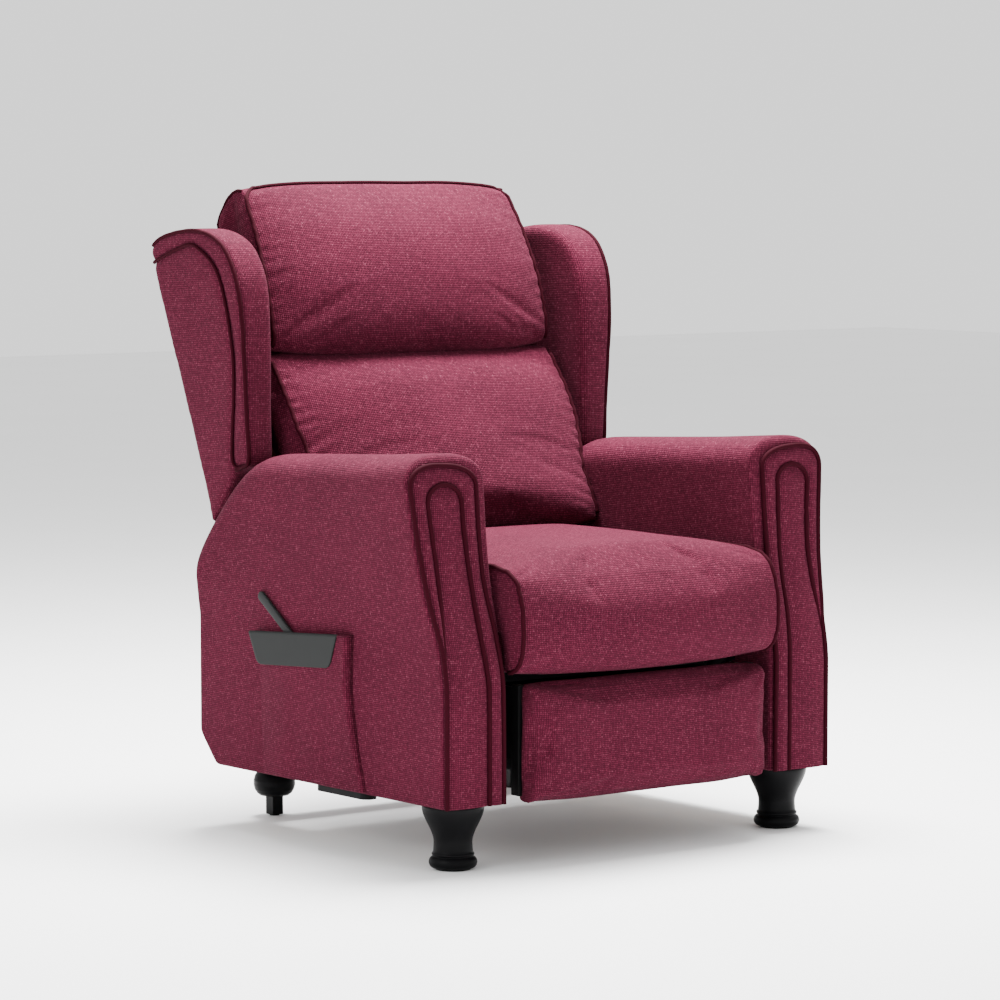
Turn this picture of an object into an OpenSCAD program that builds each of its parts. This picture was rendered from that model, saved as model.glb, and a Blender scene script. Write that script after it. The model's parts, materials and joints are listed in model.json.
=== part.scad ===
// Wing-back recliner with rolled arms, turned front legs and a folding footrest.
// Heights are measured up from the underside of the arms, depths back from the
// front of the arms, and the whole chair is then stood on the floor and centred.

/* [Arms] */
// Width over the arms at their foot
base_w = 762; // [720:2:800]
// Clear width between the arms
seat_gap = 530; // [500:5:560]
// Height of the arm top above its underside
arm_h = 524; // [490:1:550]
// Length of the arm
arm_len = 656; // [640:1:690]
// Height of the rounded top of the arm
arm_roll = 48; // [40:1:56]
// How far the outer top of the arm leans out at the front
arm_flare = 29; // [20:1:36]
// How far the front of the arm sets back at the top
arm_setback = 53; // [40:1:60]
// Thickness of the padded front facing of the arm
facing_t = 8; // [6:0.5:10]
// Radius of the piping
piping_r = 3.8; // [3:0.1:4.5]

/* [Legs] */
// Height of the legs under the arms
leg_h = 99; // [85:1:120]
// Top diameter of a turned front leg
leg_top_d = 94; // [88:1:109]
// Waist diameter of a turned front leg
leg_waist_d = 59; // [50:1:76]
// Foot diameter of a turned front leg
leg_foot_d = 73; // [66:1:92]
// Distance of the front legs behind the arm front
leg_y = 60; // [56:1:80]
// Diameter of the bun on a rear foot
bun_d = 68; // [64:1:88]
// Side of the square rear post
post_s = 20; // [18:1:34]
// Diameter of the hanger bolts in the front legs
bolt_d = 8; // [6:1:10]

/* [Seat] */
// Height of the seat cushion over its frame at the front
seat_t = 104; // [90:1:108]
// Depth of the seat frame
seat_frame_d = 440; // [420:1:450]
// Height of the timber seat rails
seat_rail_h = 57; // [50:1:60]
// Thickness of the timber seat rails
seat_rail_t = 24; // [18:1:26]
// Crown of the seat cushion
seat_crown = 14; // [8:1:15]
// Distance that the seat glides forward as the back reclines
seat_travel = 42; // [38:1:44]

/* [Back] */
// Rake of the back from upright, in degrees
rake = 18.7; // [17:0.1:20]
// Height of the back frame along its slope
frame_l = 455; // [430:1:465]
// Thickness of the outside back panel
outback_t = 12; // [8:1:14]
// Depth of the back stiles
stile_d = 60; // [50:1:62]
// Width of a back stile
stile_w = 40; // [30:1:44]
// Thickness of a wing
wing_t = 56; // [46:1:60]
// Crown of the head pillow
head_crown = 38; // [25:1:44]
// Crown of the lumbar cushion
lumbar_crown = 46; // [30:1:50]

/* [Footrest] */
// Width of the footrest pad
foot_w = 480; // [460:1:486]
// Height of the footrest pad
foot_h = 176; // [160:1:179]
// Thickness of the footrest board
board_t = 15; // [12:1:15]
// Centre distance of the lift link and of the guide link
lift_l = 168; // [160:1:170]
// Thickness of the linkage plates
plate_t = 4; // [3:0.5:4.5]
// Width of the linkage bars
bar_w = 21; // [18:1:22]
// Diameter of the linkage pivots
pin_d = 10; // [8:0.5:11]
// Side clearance between neighbouring plates
plate_gap = 1.5; // [1:0.1:1.6]

/* [Lever] */
// Length of the lever from its pivot
lever_l = 132; // [120:1:150]
// Depth that the side pocket stands out from the arm
pocket_t = 14.5; // [14:0.5:17]
// Height of the pocket mouth
pocket_h = 238; // [220:1:240]

/* [Hidden] */
$fn = 48;
seat = 0.3;
bore_gap = 0.3;
arm_w = (base_w - seat_gap) / 2;
inner_x = seat_gap / 2;
outer_x = base_w / 2;
arm_x = (inner_x + outer_x) / 2;
spring_z = arm_h - arm_roll;
lean_z = pocket_h;
inner_lean = 14;
rear_cut = 70;
rear_cut_h = 64;
rear_slope = 0.78;

pivot_y = 500;
pivot_z = 263;
pivot_d = 12;
back_y = 649;
back_z = 377;
outback_top = 466;
front_y = -17 - seat_crown;
rear_y = back_y + outback_top * sin(rake);
mid_y = (front_y + rear_y) / 2;

seat_front = 30.5;
rail_z = 195;
seat_top = rail_z + seat_rail_h + seat;
layer_x = inner_x - 10.5;
link_x = layer_x - plate_t - plate_gap;
carry_x = link_x - plate_t - plate_gap;
tilt_x = carry_x - plate_t - plate_gap;
bracket_x = tilt_x - plate_t - plate_gap;
rail_x = layer_x - plate_t - 0.5;
base_x = inner_x - seat;

lift_pivot = [150, 165];
lift_angle = 317;
guide_offset = 55 * [cos(164.5), sin(164.5)];
guide_pivot = lift_pivot + guide_offset;
lift_tip = lift_pivot + lift_l * [cos(lift_angle), sin(lift_angle)];
guide_tip = lift_tip + guide_offset;
carry_tip = [56, 159];
tilt_root = lift_tip + 42 * [cos(305), sin(305)];
tilt_tip = carry_tip + 49 * [cos(288.5), sin(288.5)];
tilt_play = 5.6;
drive_at = lift_pivot + 35 * [cos(lift_angle), sin(lift_angle)];
drive_s = 20;

board_y = 16.3;
board_back = board_y + board_t;
lever_pivot = [358, 207];
lever_lean = 35;
lever_x = outer_x + 6.4;
lever_t = 4;
recline_max = 30;
ear_y = 10;
link_ear = [pivot_y + ear_y,
    pivot_z - (seat_travel - ear_y * (1 - cos(recline_max))) / sin(recline_max)];
link_root = [430, link_ear[1]];
link_pin = 8;
link_play = 3;
slim_w = bar_w - 6;
foot_x = inner_x - 22;
foot_y = arm_len - 14;
rear_rail_y = arm_len - 34;
rear_rail_t = 33;

fabric = [0.56, 0.17, 0.30];
welt = [0.25, 0.06, 0.14];
wood = [0.80, 0.64, 0.43];
black = [0.07, 0.07, 0.08];
steel = [0.16, 0.17, 0.18];
grey = [0.25, 0.27, 0.27];

// Smooth step from 0 to 1
function ease(t) = let (u = max(0, min(1, t))) u * u * (3 - 2 * u);

// Set-back of the arm front at a height
function front_curve(z) = arm_setback * ease((z - 193) / 217);

// Height of the arm top at a depth: a gentle fall and a rear slope, blended
function arm_top_at(y) = let (
    a = arm_h - 0.051 * y, b = arm_h - 180 + (arm_len - 2 - y) * rear_slope,
    h = max(40 - abs(a - b), 0) / 40)
    min(a, b) - h * h * 10 - 6 * ease((y - arm_len + 30) / 30);

// Height of the arm underside at a depth: level, with a rear chamfer
function arm_foot_at(y) = max(0, (y - (arm_len - rear_cut)) / (rear_cut - 6) * rear_cut_h);

function lean_at(z) = pow(max(0, min(1, (z - lean_z) / (spring_z - lean_z))), 0.8);
function lean_fade(y) = 1 - 0.75 * ease(y / 420);

function arm_inner(z, y) = inner_x + inner_lean * lean_at(z) * lean_fade(y);
function arm_outer(z, y) = outer_x + arm_flare * lean_at(z) * lean_fade(y);

low_levels = [0, 60, 120, 175, 206, lean_z];
high_levels = [0.06, 0.16, 0.27, 0.38, 0.49, 0.61, 0.74, 0.87, 1];
level_n = len(low_levels) + len(high_levels);

// Height of the k-th point up the side of the arm, for a given foot and spring line
function level(k, foot = 0, spring = spring_z) = let (n = len(low_levels))
    k < n ? foot + low_levels[k] * (lean_z - foot) / lean_z
        : lean_z + high_levels[k - n] * (spring - lean_z);
roll_steps = 10;

// One cross-section of the arm, up the inside, over the top, down the outside
function arm_section(y, inset = 0) = let (
    top = arm_top_at(y), foot = arm_foot_at(y), spring = top - arm_roll,
    xi = arm_inner(spring_z, y) + inset, xo = arm_outer(spring_z, y) - inset,
    xc = (xi + xo) / 2, hw = (xo - xi) / 2)
    concat(
        [for (k = [0:level_n - 1]) [arm_inner(level(k), y) + inset, level(k, foot, spring)]],
        [for (k = [1:roll_steps - 1]) let (a = 180 * k / roll_steps)
            [xc - hw * sign(cos(a)) * pow(abs(cos(a)), 0.8),
             spring + (arm_roll - inset) * pow(sin(a), 0.85)]],
        [for (k = [level_n - 1:-1:0]) [arm_outer(level(k), y) - inset, level(k, foot, spring)]]);

// Faces of a closed loft of rings of n points, with ladder caps at both ends
function loft_faces(n, rings) = concat(
    [for (r = [0:rings - 2]) for (i = [0:n - 1]) let (j = (i + 1) % n)
        each [[r * n + i, r * n + j, (r + 1) * n + j], [r * n + i, (r + 1) * n + j, (r + 1) * n + i]]],
    [for (k = [0:floor(n / 2) - 2]) each [[k, n - 1 - k, k + 1], [k + 1, n - 1 - k, n - 2 - k]]],
    [for (k = [0:floor(n / 2) - 2]) let (b = (rings - 1) * n)
        each [[b + k, b + k + 1, b + n - 1 - k], [b + k + 1, b + n - 2 - k, b + n - 1 - k]]],
    n % 2 == 1 ? let (m = floor(n / 2), b = (rings - 1) * n)
        [[m - 1, m + 1, m], [b + m - 1, b + m, b + m + 1]] : []);

arm_stations = concat([0, 14, 45, 110, 200, 300, 380, 430, 475, 515, 550],
    [for (back = [78, 54, 30, 12, 0]) arm_len - back]);

// Parts that repeat on both sides are drawn on the right and mirrored
module side(s) { if (s < 0) mirror([1, 0, 0]) children(); else children(); }

module stand() translate([0, -mid_y, leg_h]) children();

// A plate in the y-z plane, from x outwards by t
module upright(x, t) translate([x, 0, 0]) rotate([90, 0, 90]) linear_extrude(t) children();

module spot(p, d) translate(p) circle(d = d);

// A flat bar between two eyes
module bar(p, q, w) {
    v = q - p;
    translate(p) rotate(atan2(v[1], v[0])) {
        circle(d = w);
        translate([norm(v), 0]) circle(d = w);
        translate([0, -w / 2]) square([norm(v), w]);
    }
}

// A pin along x, from x0 to x1, at a place in the y-z plane
module pin(p, d, x0, x1) translate([x0, p[0], p[1]]) rotate([0, 90, 0]) cylinder(d = d, h = x1 - x0);

// Moves each point of an anticlockwise outline inwards
function inset(pts, d) = [for (i = [0:len(pts) - 1]) let (
    n = len(pts), a = pts[(i + n - 1) % n], b = pts[i], c = pts[(i + 1) % n],
    u = (b - a) / norm(b - a), v = (c - b) / norm(c - b),
    m = [-u[1] - v[1], u[0] + v[0]], k = 1 + u * v)
    b + m * d / max(k, 0.5)];

// Rounds an outline by cutting its corners
function soften(pts) = [for (i = [0:len(pts) - 1]) let (a = pts[i], b = pts[(i + 1) % len(pts)])
    each [a * 0.75 + b * 0.25, a * 0.25 + b * 0.75]];

function cavity_line(g) = let (h = g) [
    [24 + h, -1], [24 + h, 190], [arm_setback + 25 + h, arm_h - 121],
    [arm_setback + 25 + h, spring_z - 18 - h], [380, spring_z - 23 - h],
    [arm_len - 186, spring_z - 43 - h], [arm_len - 56 - h, arm_h - 191 - h],
    [arm_len - 20 - h, arm_h - 221], [arm_len - 20 - h, 75], [arm_len - 81 - h, -1]];
frame_in = inner_x + 20;
frame_out = outer_x - 18;

module arm_frame(s) color(wood) stand() side(s) {
    web = 20;
    edge = 46;
    line = cavity_line(0.4);
    full = frame_out - frame_in - 0.8;
    difference() {
        upright(frame_in + 0.4, full) polygon([for (p = line) [p[0], max(p[1], 0)]]);
        for (x = [frame_in, frame_in + 0.4 + (full + web) / 2])
            upright(x, (full - web) / 2 + 0.4) polygon([
                [arm_setback + 25 + edge, edge + 12], [arm_len - 81 - edge, edge + 12],
                [arm_len - 20 - edge, edge + 75], [arm_len - 20 - edge, arm_h - 240],
                [arm_len - 190, spring_z - 46 - edge], [arm_setback + 25 + edge, spring_z - 24 - edge]]);
        translate([arm_x, leg_y, -2]) cylinder(d = bolt_d + bore_gap, h = 42);
        for (p = base_bolt_places) pin(p, bolt_d - 2 + bore_gap, frame_in - 1, frame_in + 30);
    }
}

base_bolt_places = [[215, 126], [330, 126], [545, 150], [545, 235]];

module arm_cover(s) color(fabric) stand() side(s) difference() {
    n = 2 * level_n + roll_steps - 1;
    polyhedron(
        [for (y = arm_stations) each [for (p = arm_section(y))
            [p[0], y + (facing_t + seat + front_curve(p[1])) * max(0, 1 - y / 220), p[1]]]],
        loft_faces(n, len(arm_stations)));
    upright(frame_in, frame_out - frame_in) polygon(cavity_line(0));
    for (p = base_bolt_places) pin(p, bolt_d - 1.4, inner_x - 1, frame_in + 1);
}

// A band that follows the S-shaped arm front, from depth a to depth b
module front_band(a, b) {
    zs = concat([for (k = [0:level_n - 1]) level(k)], [arm_h + 2]);
    translate([inner_x - 20, 0, 0]) rotate([90, 0, 90]) linear_extrude(arm_w + arm_flare + 40)
        polygon(concat([for (z = zs) [front_curve(z) + a, z]],
            [for (k = [len(zs) - 1:-1:0]) [front_curve(zs[k]) + b, zs[k]]]));
}

module arm_facing(s) color(fabric) stand() side(s) {
    lip = 2 * piping_r + 0.8;
    intersection() {
        translate([0, 200, 0]) rotate([90, 0, 0]) linear_extrude(240) polygon(arm_section(0, lip));
        front_band(1.5, facing_t);
    }
    intersection() {
        translate([0, 200, 0]) rotate([90, 0, 0]) linear_extrude(240) polygon(panel_outline());
        front_band(-4, facing_t - 1);
    }
}

// Raised centre panel of the facing: an arch whose outer side runs out to the edge
function panel_outline() = let (band = 31, lip = 2 * piping_r + 0.8, zt = spring_z - 14,
    xi = arm_inner(spring_z, 0) + band, xo = arm_outer(spring_z, 0) - band,
    xc = (xi + xo) / 2, hw = (xo - xi) / 2)
    concat([[inner_x + 28, 0], [inner_x + 28, 180], [inner_x + 33, 300], [xi, zt]],
        [for (a = [20:20:160]) [xc - hw * cos(a), zt + hw * 0.9 * sin(a)]],
        [[xo, zt], [outer_x - 14, 300], [outer_x - lip - 1, 200], [outer_x - lip - 1, 0]]);

// Faces of a round tube swept through rings of n points, with flat ends
function tube_faces(n, rings) = concat(
    [for (r = [0:rings - 2]) for (i = [0:n - 1]) let (j = (i + 1) % n)
        each [[r * n + i, (r + 1) * n + j, r * n + j], [r * n + i, (r + 1) * n + i, (r + 1) * n + j]]],
    [[for (i = [0:n - 1]) i]], [[for (i = [n - 1:-1:0]) (rings - 1) * n + i]]);

module tube(path, r, n = 8) {
    m = len(path);
    rings = [for (k = [0:m - 1]) let (
        d = path[min(k + 1, m - 1)] - path[max(k - 1, 0)], t = d / norm(d),
        u0 = cross(t, [0, 1, 0]), u = u0 / norm(u0), v = cross(t, u))
        each [for (i = [0:n - 1]) path[k] + r * (u * cos(360 * i / n) + v * sin(360 * i / n))]];
    polyhedron(rings, tube_faces(n, m));
}

module arm_piping(s) color(welt) stand() side(s)
    tube([for (p = arm_section(0, piping_r + 0.4)) if (p[1] > 0 || p[0] > 0)
        [p[0], front_curve(p[1]) + facing_t - piping_r - 0.6, max(p[1], 0.5)]], piping_r);

guard_a = 250;
guard_b = 491;
pocket_wall = 3.5;

// Moves points given from the pocket's mouth, which falls towards the rear
function at_mouth(pts) = [for (p = pts) [p[0], pocket_h - (p[0] - guard_a) * 0.062 + p[1]]];

module side_pocket() color(fabric) stand() side(-1) difference() {
    upright(outer_x + seat, pocket_t - seat) polygon(concat(
        at_mouth([[guard_a - 19, 0], [guard_b + 14, 0]]), [[guard_b + 14, 4], [201, 4], [234, 157]]));
    upright(outer_x, pocket_t - pocket_wall) polygon(concat(
        at_mouth([[guard_a - 11, 1], [guard_b + 8, 1]]), [[guard_b + 8, 12], [210, 12], [242, 157]]));
}

// A folded plate that clips over the top edge of the pocket
module lever_guard() color(grey) stand() side(-1) {
    x1 = outer_x + pocket_t + seat;
    t = 2.6;
    top = seat + t;
    upright(x1, t) polygon(at_mouth(concat([[guard_a, top], [guard_a, -5]],
        [for (a = [180:30:270]) [guard_a + 38 + 14 * cos(a), 14 * sin(a) - 38]],
        [for (a = [270:30:360]) [guard_b - 42 + 14 * cos(a), 14 * sin(a) - 38]],
        [[guard_b, -5], [guard_b, top]])));
    upright(x1 - seat - pocket_wall, pocket_wall + seat + 0.1)
        polygon(at_mouth([[guard_a, seat], [guard_b, seat], [guard_b, top], [guard_a, top]]));
}

module lever_bracket() color(steel) stand() side(-1) {
    upright(outer_x + seat, lever_x - outer_x - seat - 0.4) difference() {
        bar(lever_pivot - [0, 60], lever_pivot, 34);
        spot(lever_pivot - [0, 64], 6);
        spot(lever_pivot - [0, 38], 6);
    }
    pin(lever_pivot, 8, lever_x - 1, lever_x + lever_t + 0.3);
}

function lever_at(d) = lever_pivot + d * [cos(lever_lean), sin(lever_lean)];

module recline_lever() color(black) stand() side(-1) upright(lever_x, lever_t) difference() {
    union() {
        bar(lever_pivot, lever_at(lever_l - 12), 15);
        spot(lever_pivot, 24);
    }
    spot(lever_pivot, 8 + bore_gap);
}

module lever_grip() color(black) stand() side(-1) difference() {
    upright(lever_x - 1.3, lever_t + 2.6) {
        bar(lever_at(96), lever_at(lever_l), 19);
        bar(lever_at(lever_l - 16), lever_at(lever_l), 22);
    }
    upright(lever_x - 0.05, lever_t + 0.1) bar(lever_at(80), lever_at(lever_l - 12), 15.1);
}

module front_leg(s) color(black) translate([s * arm_x, leg_y - mid_y, 0]) difference() {
    rf = leg_foot_d / 2;
    rw = leg_waist_d / 2;
    rt = leg_top_d / 2;
    rotate_extrude($fn = 72) polygon(concat([[0, 2], [rf - 8, 2]],
        [for (a = [-74:16:64]) [rf - 8 + 8 * cos(a), 11 + 9 * sin(a)]],
        [[rf - 6, 20.5]], [for (a = [-60:30:60]) [rf - 5 + 2.6 * cos(a), 23.5 + 2.6 * sin(a)]],
        [for (k = [0:12]) let (t = k / 12, h = leg_h - 31)
            [rw + (rf - 6 - rw) * pow(max(0, 1 - t * 4), 2) + (rt - rw) * ease((t - 0.2) / 0.8),
             27 + t * h]],
        [[rt - 1, leg_h - 2], [rt - 3, leg_h - seat], [0, leg_h - seat]]));
    translate([0, 0, leg_h - 40]) cylinder(d = bolt_d + bore_gap, h = 50);
}

module leg_bolts() color(steel) for (s = [-1, 1])
    translate([s * arm_x, leg_y - mid_y, leg_h - 39.5]) cylinder(d = bolt_d, h = 78);

module rear_buns() color(black) for (s = [-1, 1])
    translate([s * foot_x, foot_y - mid_y, leg_h - 67]) difference() {
        rotate_extrude($fn = 64) polygon(concat([[0, 0]],
            [for (a = [-70:20:70]) [bun_d / 2 - 16 + 16 * cos(a), 22 + 22 * sin(a)]], [[0, 44]]));
        translate([-post_s / 2 - 0.1, -post_s / 2 - 0.1, -1]) cube([post_s + 0.2, post_s + 0.2, 50]);
    }

module rear_posts() color(black) for (s = [-1, 1])
    translate([s * foot_x - post_s / 2, foot_y - mid_y - post_s / 2, 2])
        cube([post_s, post_s, leg_h - 2]);

module foot_glides() color(black) for (s = [-1, 1]) {
    translate([s * arm_x, leg_y - mid_y, 0]) cylinder(d = leg_foot_d - 20, h = 2);
    translate([s * foot_x, foot_y - mid_y, 0]) cylinder(d = post_s - 4, h = 2);
}

module rear_cross_rail() color(wood) stand()
    translate([-inner_x + seat, rear_rail_y, 0]) cube([seat_gap - 2 * seat, rear_rail_t, 60]);

module cross_tube() color(steel) stand() translate([-base_x + plate_t + 0.1, 395, 112]) difference() {
    cube([2 * (base_x - plate_t) - 0.2, 24, 24]);
    translate([-1, 2, 2]) cube([2 * base_x, 20, 20]);
}

slide_studs = [[250, 173], [420, 173]];

module base_plate(s) color(steel) stand() side(s) upright(base_x - plate_t, plate_t) difference() {
    union() {
        polygon([[190, 105], [560, 105], [560, 250], [pivot_y + 14, pivot_z + 12],
            [pivot_y - 14, pivot_z + 12], [450, 205], [190, 205]]);
        spot([pivot_y, pivot_z], 36);
    }
    spot([pivot_y, pivot_z], pivot_d + bore_gap);
    for (p = base_bolt_places) spot(p, bolt_d - 2 + bore_gap);
    for (p = slide_studs) bar(p - [seat_travel + 1, 0], p + [1, 0], pin_d + 0.6);
    for (y = [270, 470]) bar([y, 140], [y + 30, 140], 16);
}

module base_bolts() color(steel) stand() for (s = [-1, 1]) side(s) for (p = base_bolt_places) {
    pin(p, bolt_d - 2, base_x - plate_t - 0.2, frame_in + 22);
    pin(p, bolt_d + 4, base_x - plate_t - 1.8, base_x - plate_t - 0.1);
}

module under_rails() color(black) stand() for (s = [-1, 1]) side(s)
    translate([arm_x + 30, 0, -12]) linear_extrude(12 - seat) bar([0, 236], [0, 342], 28);

module seat_rail(s) color(wood) stand() side(s)
    translate([rail_x - seat_rail_t, seat_front, rail_z]) cube([seat_rail_t, seat_frame_d, seat_rail_h]);

module cross_seat_rail(y) color(wood) stand()
    translate([-rail_x + seat_rail_t + 0.1, y, rail_z])
        cube([2 * (rail_x - seat_rail_t) - 0.2, seat_rail_t, seat_rail_h]);

// A zig-zag spring along y, from a to b, of n half loops, cut from flat wire
module zigzag(a, b, n) {
    r = (b - a) / n / 2;
    w = 3.6;
    amp = 20;
    for (k = [0:n - 1]) let (c = a + r + 2 * r * k, e = (k % 2 == 0) ? 1 : -1)
        translate([e * amp, c]) intersection() {
            difference() {
                circle(r = r + w / 2);
                circle(r = r - w / 2);
            }
            translate([e > 0 ? 0 : -2 * r, -2 * r]) square([2 * r, 4 * r]);
        }
    for (k = [1:n - 1]) translate([-amp, a + 2 * r * k - w / 2]) square([2 * amp, w]);
    translate([0, a - w / 2]) square([amp, w]);
    translate([-amp, b - w / 2]) square([amp, w]);
}

module seat_springs() color(steel) stand()
    for (x = [-150, -50, 50, 150]) translate([x, 0, rail_z + seat_rail_h - 12]) linear_extrude(3.6)
        zigzag(seat_front + seat_rail_t + 2.1, seat_front + seat_frame_d - seat_rail_t - 2.1, 16);

// A cushion: its side profile is carried across the width, swelling to a crown in the
// middle, and above flare_z it widens by flare on each side. Each profile point is
// [depth, height, share of the crown]
module cushion(profile, half_w, crown, draw, flare = 0, flare_z = 0) {
    pts = soften(profile);
    n = len(pts);
    line = [for (p = pts) [p[0], p[1]]];
    spans = [-1, -0.975, -0.9, -0.75, -0.5, -0.25, 0, 0.25, 0.5, 0.75, 0.9, 0.975, 1];
    m = len(spans);
    rings = [for (t = spans) let (
        swell = crown * (1 - pow(abs(t), 2.6)) - (abs(t) > 0.98 ? draw : 0),
        out = inset(line, -1))
        each [for (i = [0:n - 1]) let (d = (out[i] - line[i]) / max(norm(out[i] - line[i]), 0.001),
            s = swell > 0 ? swell * pts[i][2] : swell, q = line[i] + d * s)
            [(half_w + flare * ease((line[i][1] - flare_z) / 60)) * t, q[0], q[1]]]];
    polyhedron(rings, concat(
        [for (r = [0:m - 2]) for (i = [0:n - 1]) let (j = (i + 1) % n)
            each [[r * n + i, (r + 1) * n + j, r * n + j], [r * n + i, (r + 1) * n + i, (r + 1) * n + j]]],
        [[for (i = [0:n - 1]) i]], [[for (i = [n - 1:-1:0]) (m - 1) * n + i]]));
}

module seat_cushion() color(fabric) stand() {
    zt = seat_top + seat_t;
    cushion([[30, 194, 0], [30, 224, 0], [30, seat_top - 3, 0], [29.5, seat_top, 0], [33, seat_top, 0],
        [180, seat_top, 0], [330, seat_top, 0],
        [478, seat_top, 0], [480, zt - 30, 0.2], [462, zt - 6, 0.4], [430, zt, 0.8], [330, zt + 2, 1],
        [230, zt + 3, 1], [150, zt + 3, 1], [92, zt + 2, 1], [50, zt - 3, 1], [24, zt - 10, 1],
        [0, zt - 27, 1], [-14, zt - 52, 1], [-18, zt - 92, 1], [-12, zt - 128, 1], [6, 194, 0.3]],
        inner_x - 10, seat_crown, 5);
}

module seat_plate(s) color(steel) stand() side(s) {
    upright(layer_x - plate_t, plate_t) difference() {
        union() {
            polygon([[80, 178], [132, 150], [168, 150], [235, 158], [435, 158], [455, 178], [455, 245],
                [400, 247], [120, 247], [80, 230]]);
            spot(lift_pivot, 34);
            spot(guide_pivot, 28);
        }
        for (y = [140, 420]) spot([y, 225], 7);
        for (y = [180, 300]) bar([y, 208], [y + 60, 208], 18);
    }
    for (p = [lift_pivot, guide_pivot]) pin(p, pin_d, link_x - plate_t - 1, layer_x - plate_t / 2);
    for (p = slide_studs) pin(p, pin_d, layer_x - plate_t / 2, base_x - 0.2);
    pin(link_root, link_pin, layer_x - 2 * plate_t - 1.5, layer_x - plate_t / 2);
}

module eye(p) spot(p, pin_d + bore_gap);

module lift_link(s) color(steel) stand() side(s) {
    upright(link_x - plate_t, plate_t) difference() {
        union() {
            bar(lift_pivot, lift_tip, bar_w);
            bar(lift_tip, tilt_root, slim_w);
        }
        eye(lift_pivot);
    }
    pin(lift_tip, pin_d, carry_x - plate_t - 1, link_x - plate_t / 2);
    pin(tilt_root, pin_d, tilt_x - plate_t - 1, link_x - plate_t / 2);
}

module guide_link(s) color(steel) stand() side(s) {
    upright(link_x - plate_t, plate_t) difference() {
        bar(guide_pivot, guide_tip, slim_w);
        eye(guide_pivot);
    }
    pin(guide_tip, pin_d, carry_x - plate_t - 1, link_x - plate_t / 2);
}

module carry_link(s) color(steel) stand() side(s) upright(carry_x - plate_t, plate_t) difference() {
    union() {
        bar(lift_tip, carry_tip, bar_w);
        spot(guide_tip, bar_w);
    }
    eye(lift_tip);
    spot(guide_tip, pin_d + 0.8);
    eye(carry_tip);
}

module tilt_link(s) color(steel) stand() side(s) upright(tilt_x - plate_t, plate_t) difference() {
    union() {
        bar(tilt_root, tilt_tip, bar_w - 4);
        spot(tilt_root, bar_w);
        spot(tilt_tip, pin_d + 2 * tilt_play + 10);
    }
    eye(tilt_root);
    spot(tilt_tip, pin_d + 2 * tilt_play);
}

module drive_tube() color(steel) stand() translate([0, drive_at[0], drive_at[1]])
    rotate([lift_angle - 360, 0, 0]) difference() {
        len = 2 * (link_x - plate_t) - 0.2;
        translate([-len / 2, -drive_s / 2, -drive_s / 2]) cube([len, drive_s, drive_s]);
        translate([-len / 2 - 1, -drive_s / 2 + 2, -drive_s / 2 + 2])
            cube([len + 2, drive_s - 4, drive_s - 4]);
    }

module board_bracket(s) color(steel) stand() side(s) {
    x0 = bracket_x - plate_t;
    upright(x0, plate_t) {
        bar([board_back + 12, carry_tip[1]], carry_tip, bar_w + 2);
        bar([board_back + 12, tilt_tip[1]], tilt_tip, bar_w + 2);
        translate([board_back + 0.1, 60]) square([26, 110]);
    }
    translate([x0 - 32, board_back + 0.1, 60]) cube([34, plate_t, 110]);
    pin(carry_tip, pin_d, bracket_x - plate_t / 2, carry_x + 0.8);
    pin(tilt_tip, pin_d, bracket_x - plate_t / 2, tilt_x + 0.8);
}

module footrest_board() color(wood) stand()
    translate([-foot_w / 2 + 8, board_y, 8]) cube([foot_w - 16, board_t, foot_h - 12]);

module footrest_pad() color(fabric) stand()
    cushion([[16, foot_h + 2, 0], [3, foot_h + 3, 0.2], [-5, foot_h - 2, 0.6], [-9, foot_h - 16, 1],
        [-10, foot_h - 60, 1], [-10, 64, 1], [-9, 14, 1], [-5, 0, 0.6], [3, -3, 0.2], [16, -2, 0],
        [16, 60, 0], [16, 120, 0]], foot_w / 2, 8, 3);

// The back is laid out along its own slope: y out of the rear face, z up the slope
module on_back() stand() translate([0, back_y, back_z]) rotate([-rake, 0, 0]) children();

function bk(y, z) = [back_y + y * cos(rake) + z * sin(rake), back_z - y * sin(rake) + z * cos(rake)];

wing_x = outer_x - 15;
stile_top = frame_l;
stile_foot = -170;
stile_y = -outback_t - 0.3 - stile_d;
stile_x = layer_x - plate_t + 3.4;

module back_stile(s) color(wood) side(s) on_back()
    translate([stile_x - stile_w, stile_y, stile_foot]) cube([stile_w, stile_d, stile_top - stile_foot]);

module back_rail(z, h) color(wood) on_back()
    translate([-stile_x + stile_w + 0.1, stile_y, z])
        cube([2 * (stile_x - stile_w) - 0.2, stile_d, h]);

module back_webbing() color(grey) on_back() for (z = [-40, 60, 160, 260])
    translate([-stile_x + stile_w + 0.2, stile_y + 18, z])
        cube([2 * (stile_x - stile_w) - 0.4, 1.6, 50]);

module outside_back() color(fabric) on_back() rotate([90, 0, 0]) linear_extrude(outback_t) {
    wide = wing_x - 1;
    narrow = inner_x - 8;
    half = [[narrow, -225], [narrow, 0], [wide, 0], [wide + 6, 440], [wide - 4, outback_top]];
    polygon(concat(half, [for (k = [len(half) - 1:-1:0]) [-half[k][0], half[k][1]]]));
}

wing_line = concat([[541, 458], [561, 443], [601, 410], bk(-12.6, 1), bk(-12.6, 240),
    bk(-12.6, 440), bk(-16, 462), bk(-34, 470)],
    [[735, 842], [675, 850], [625, 846], [584, 829], [560, 800], [543, 763], [535, 700], [536, 620],
    [538, 540]]);

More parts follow.
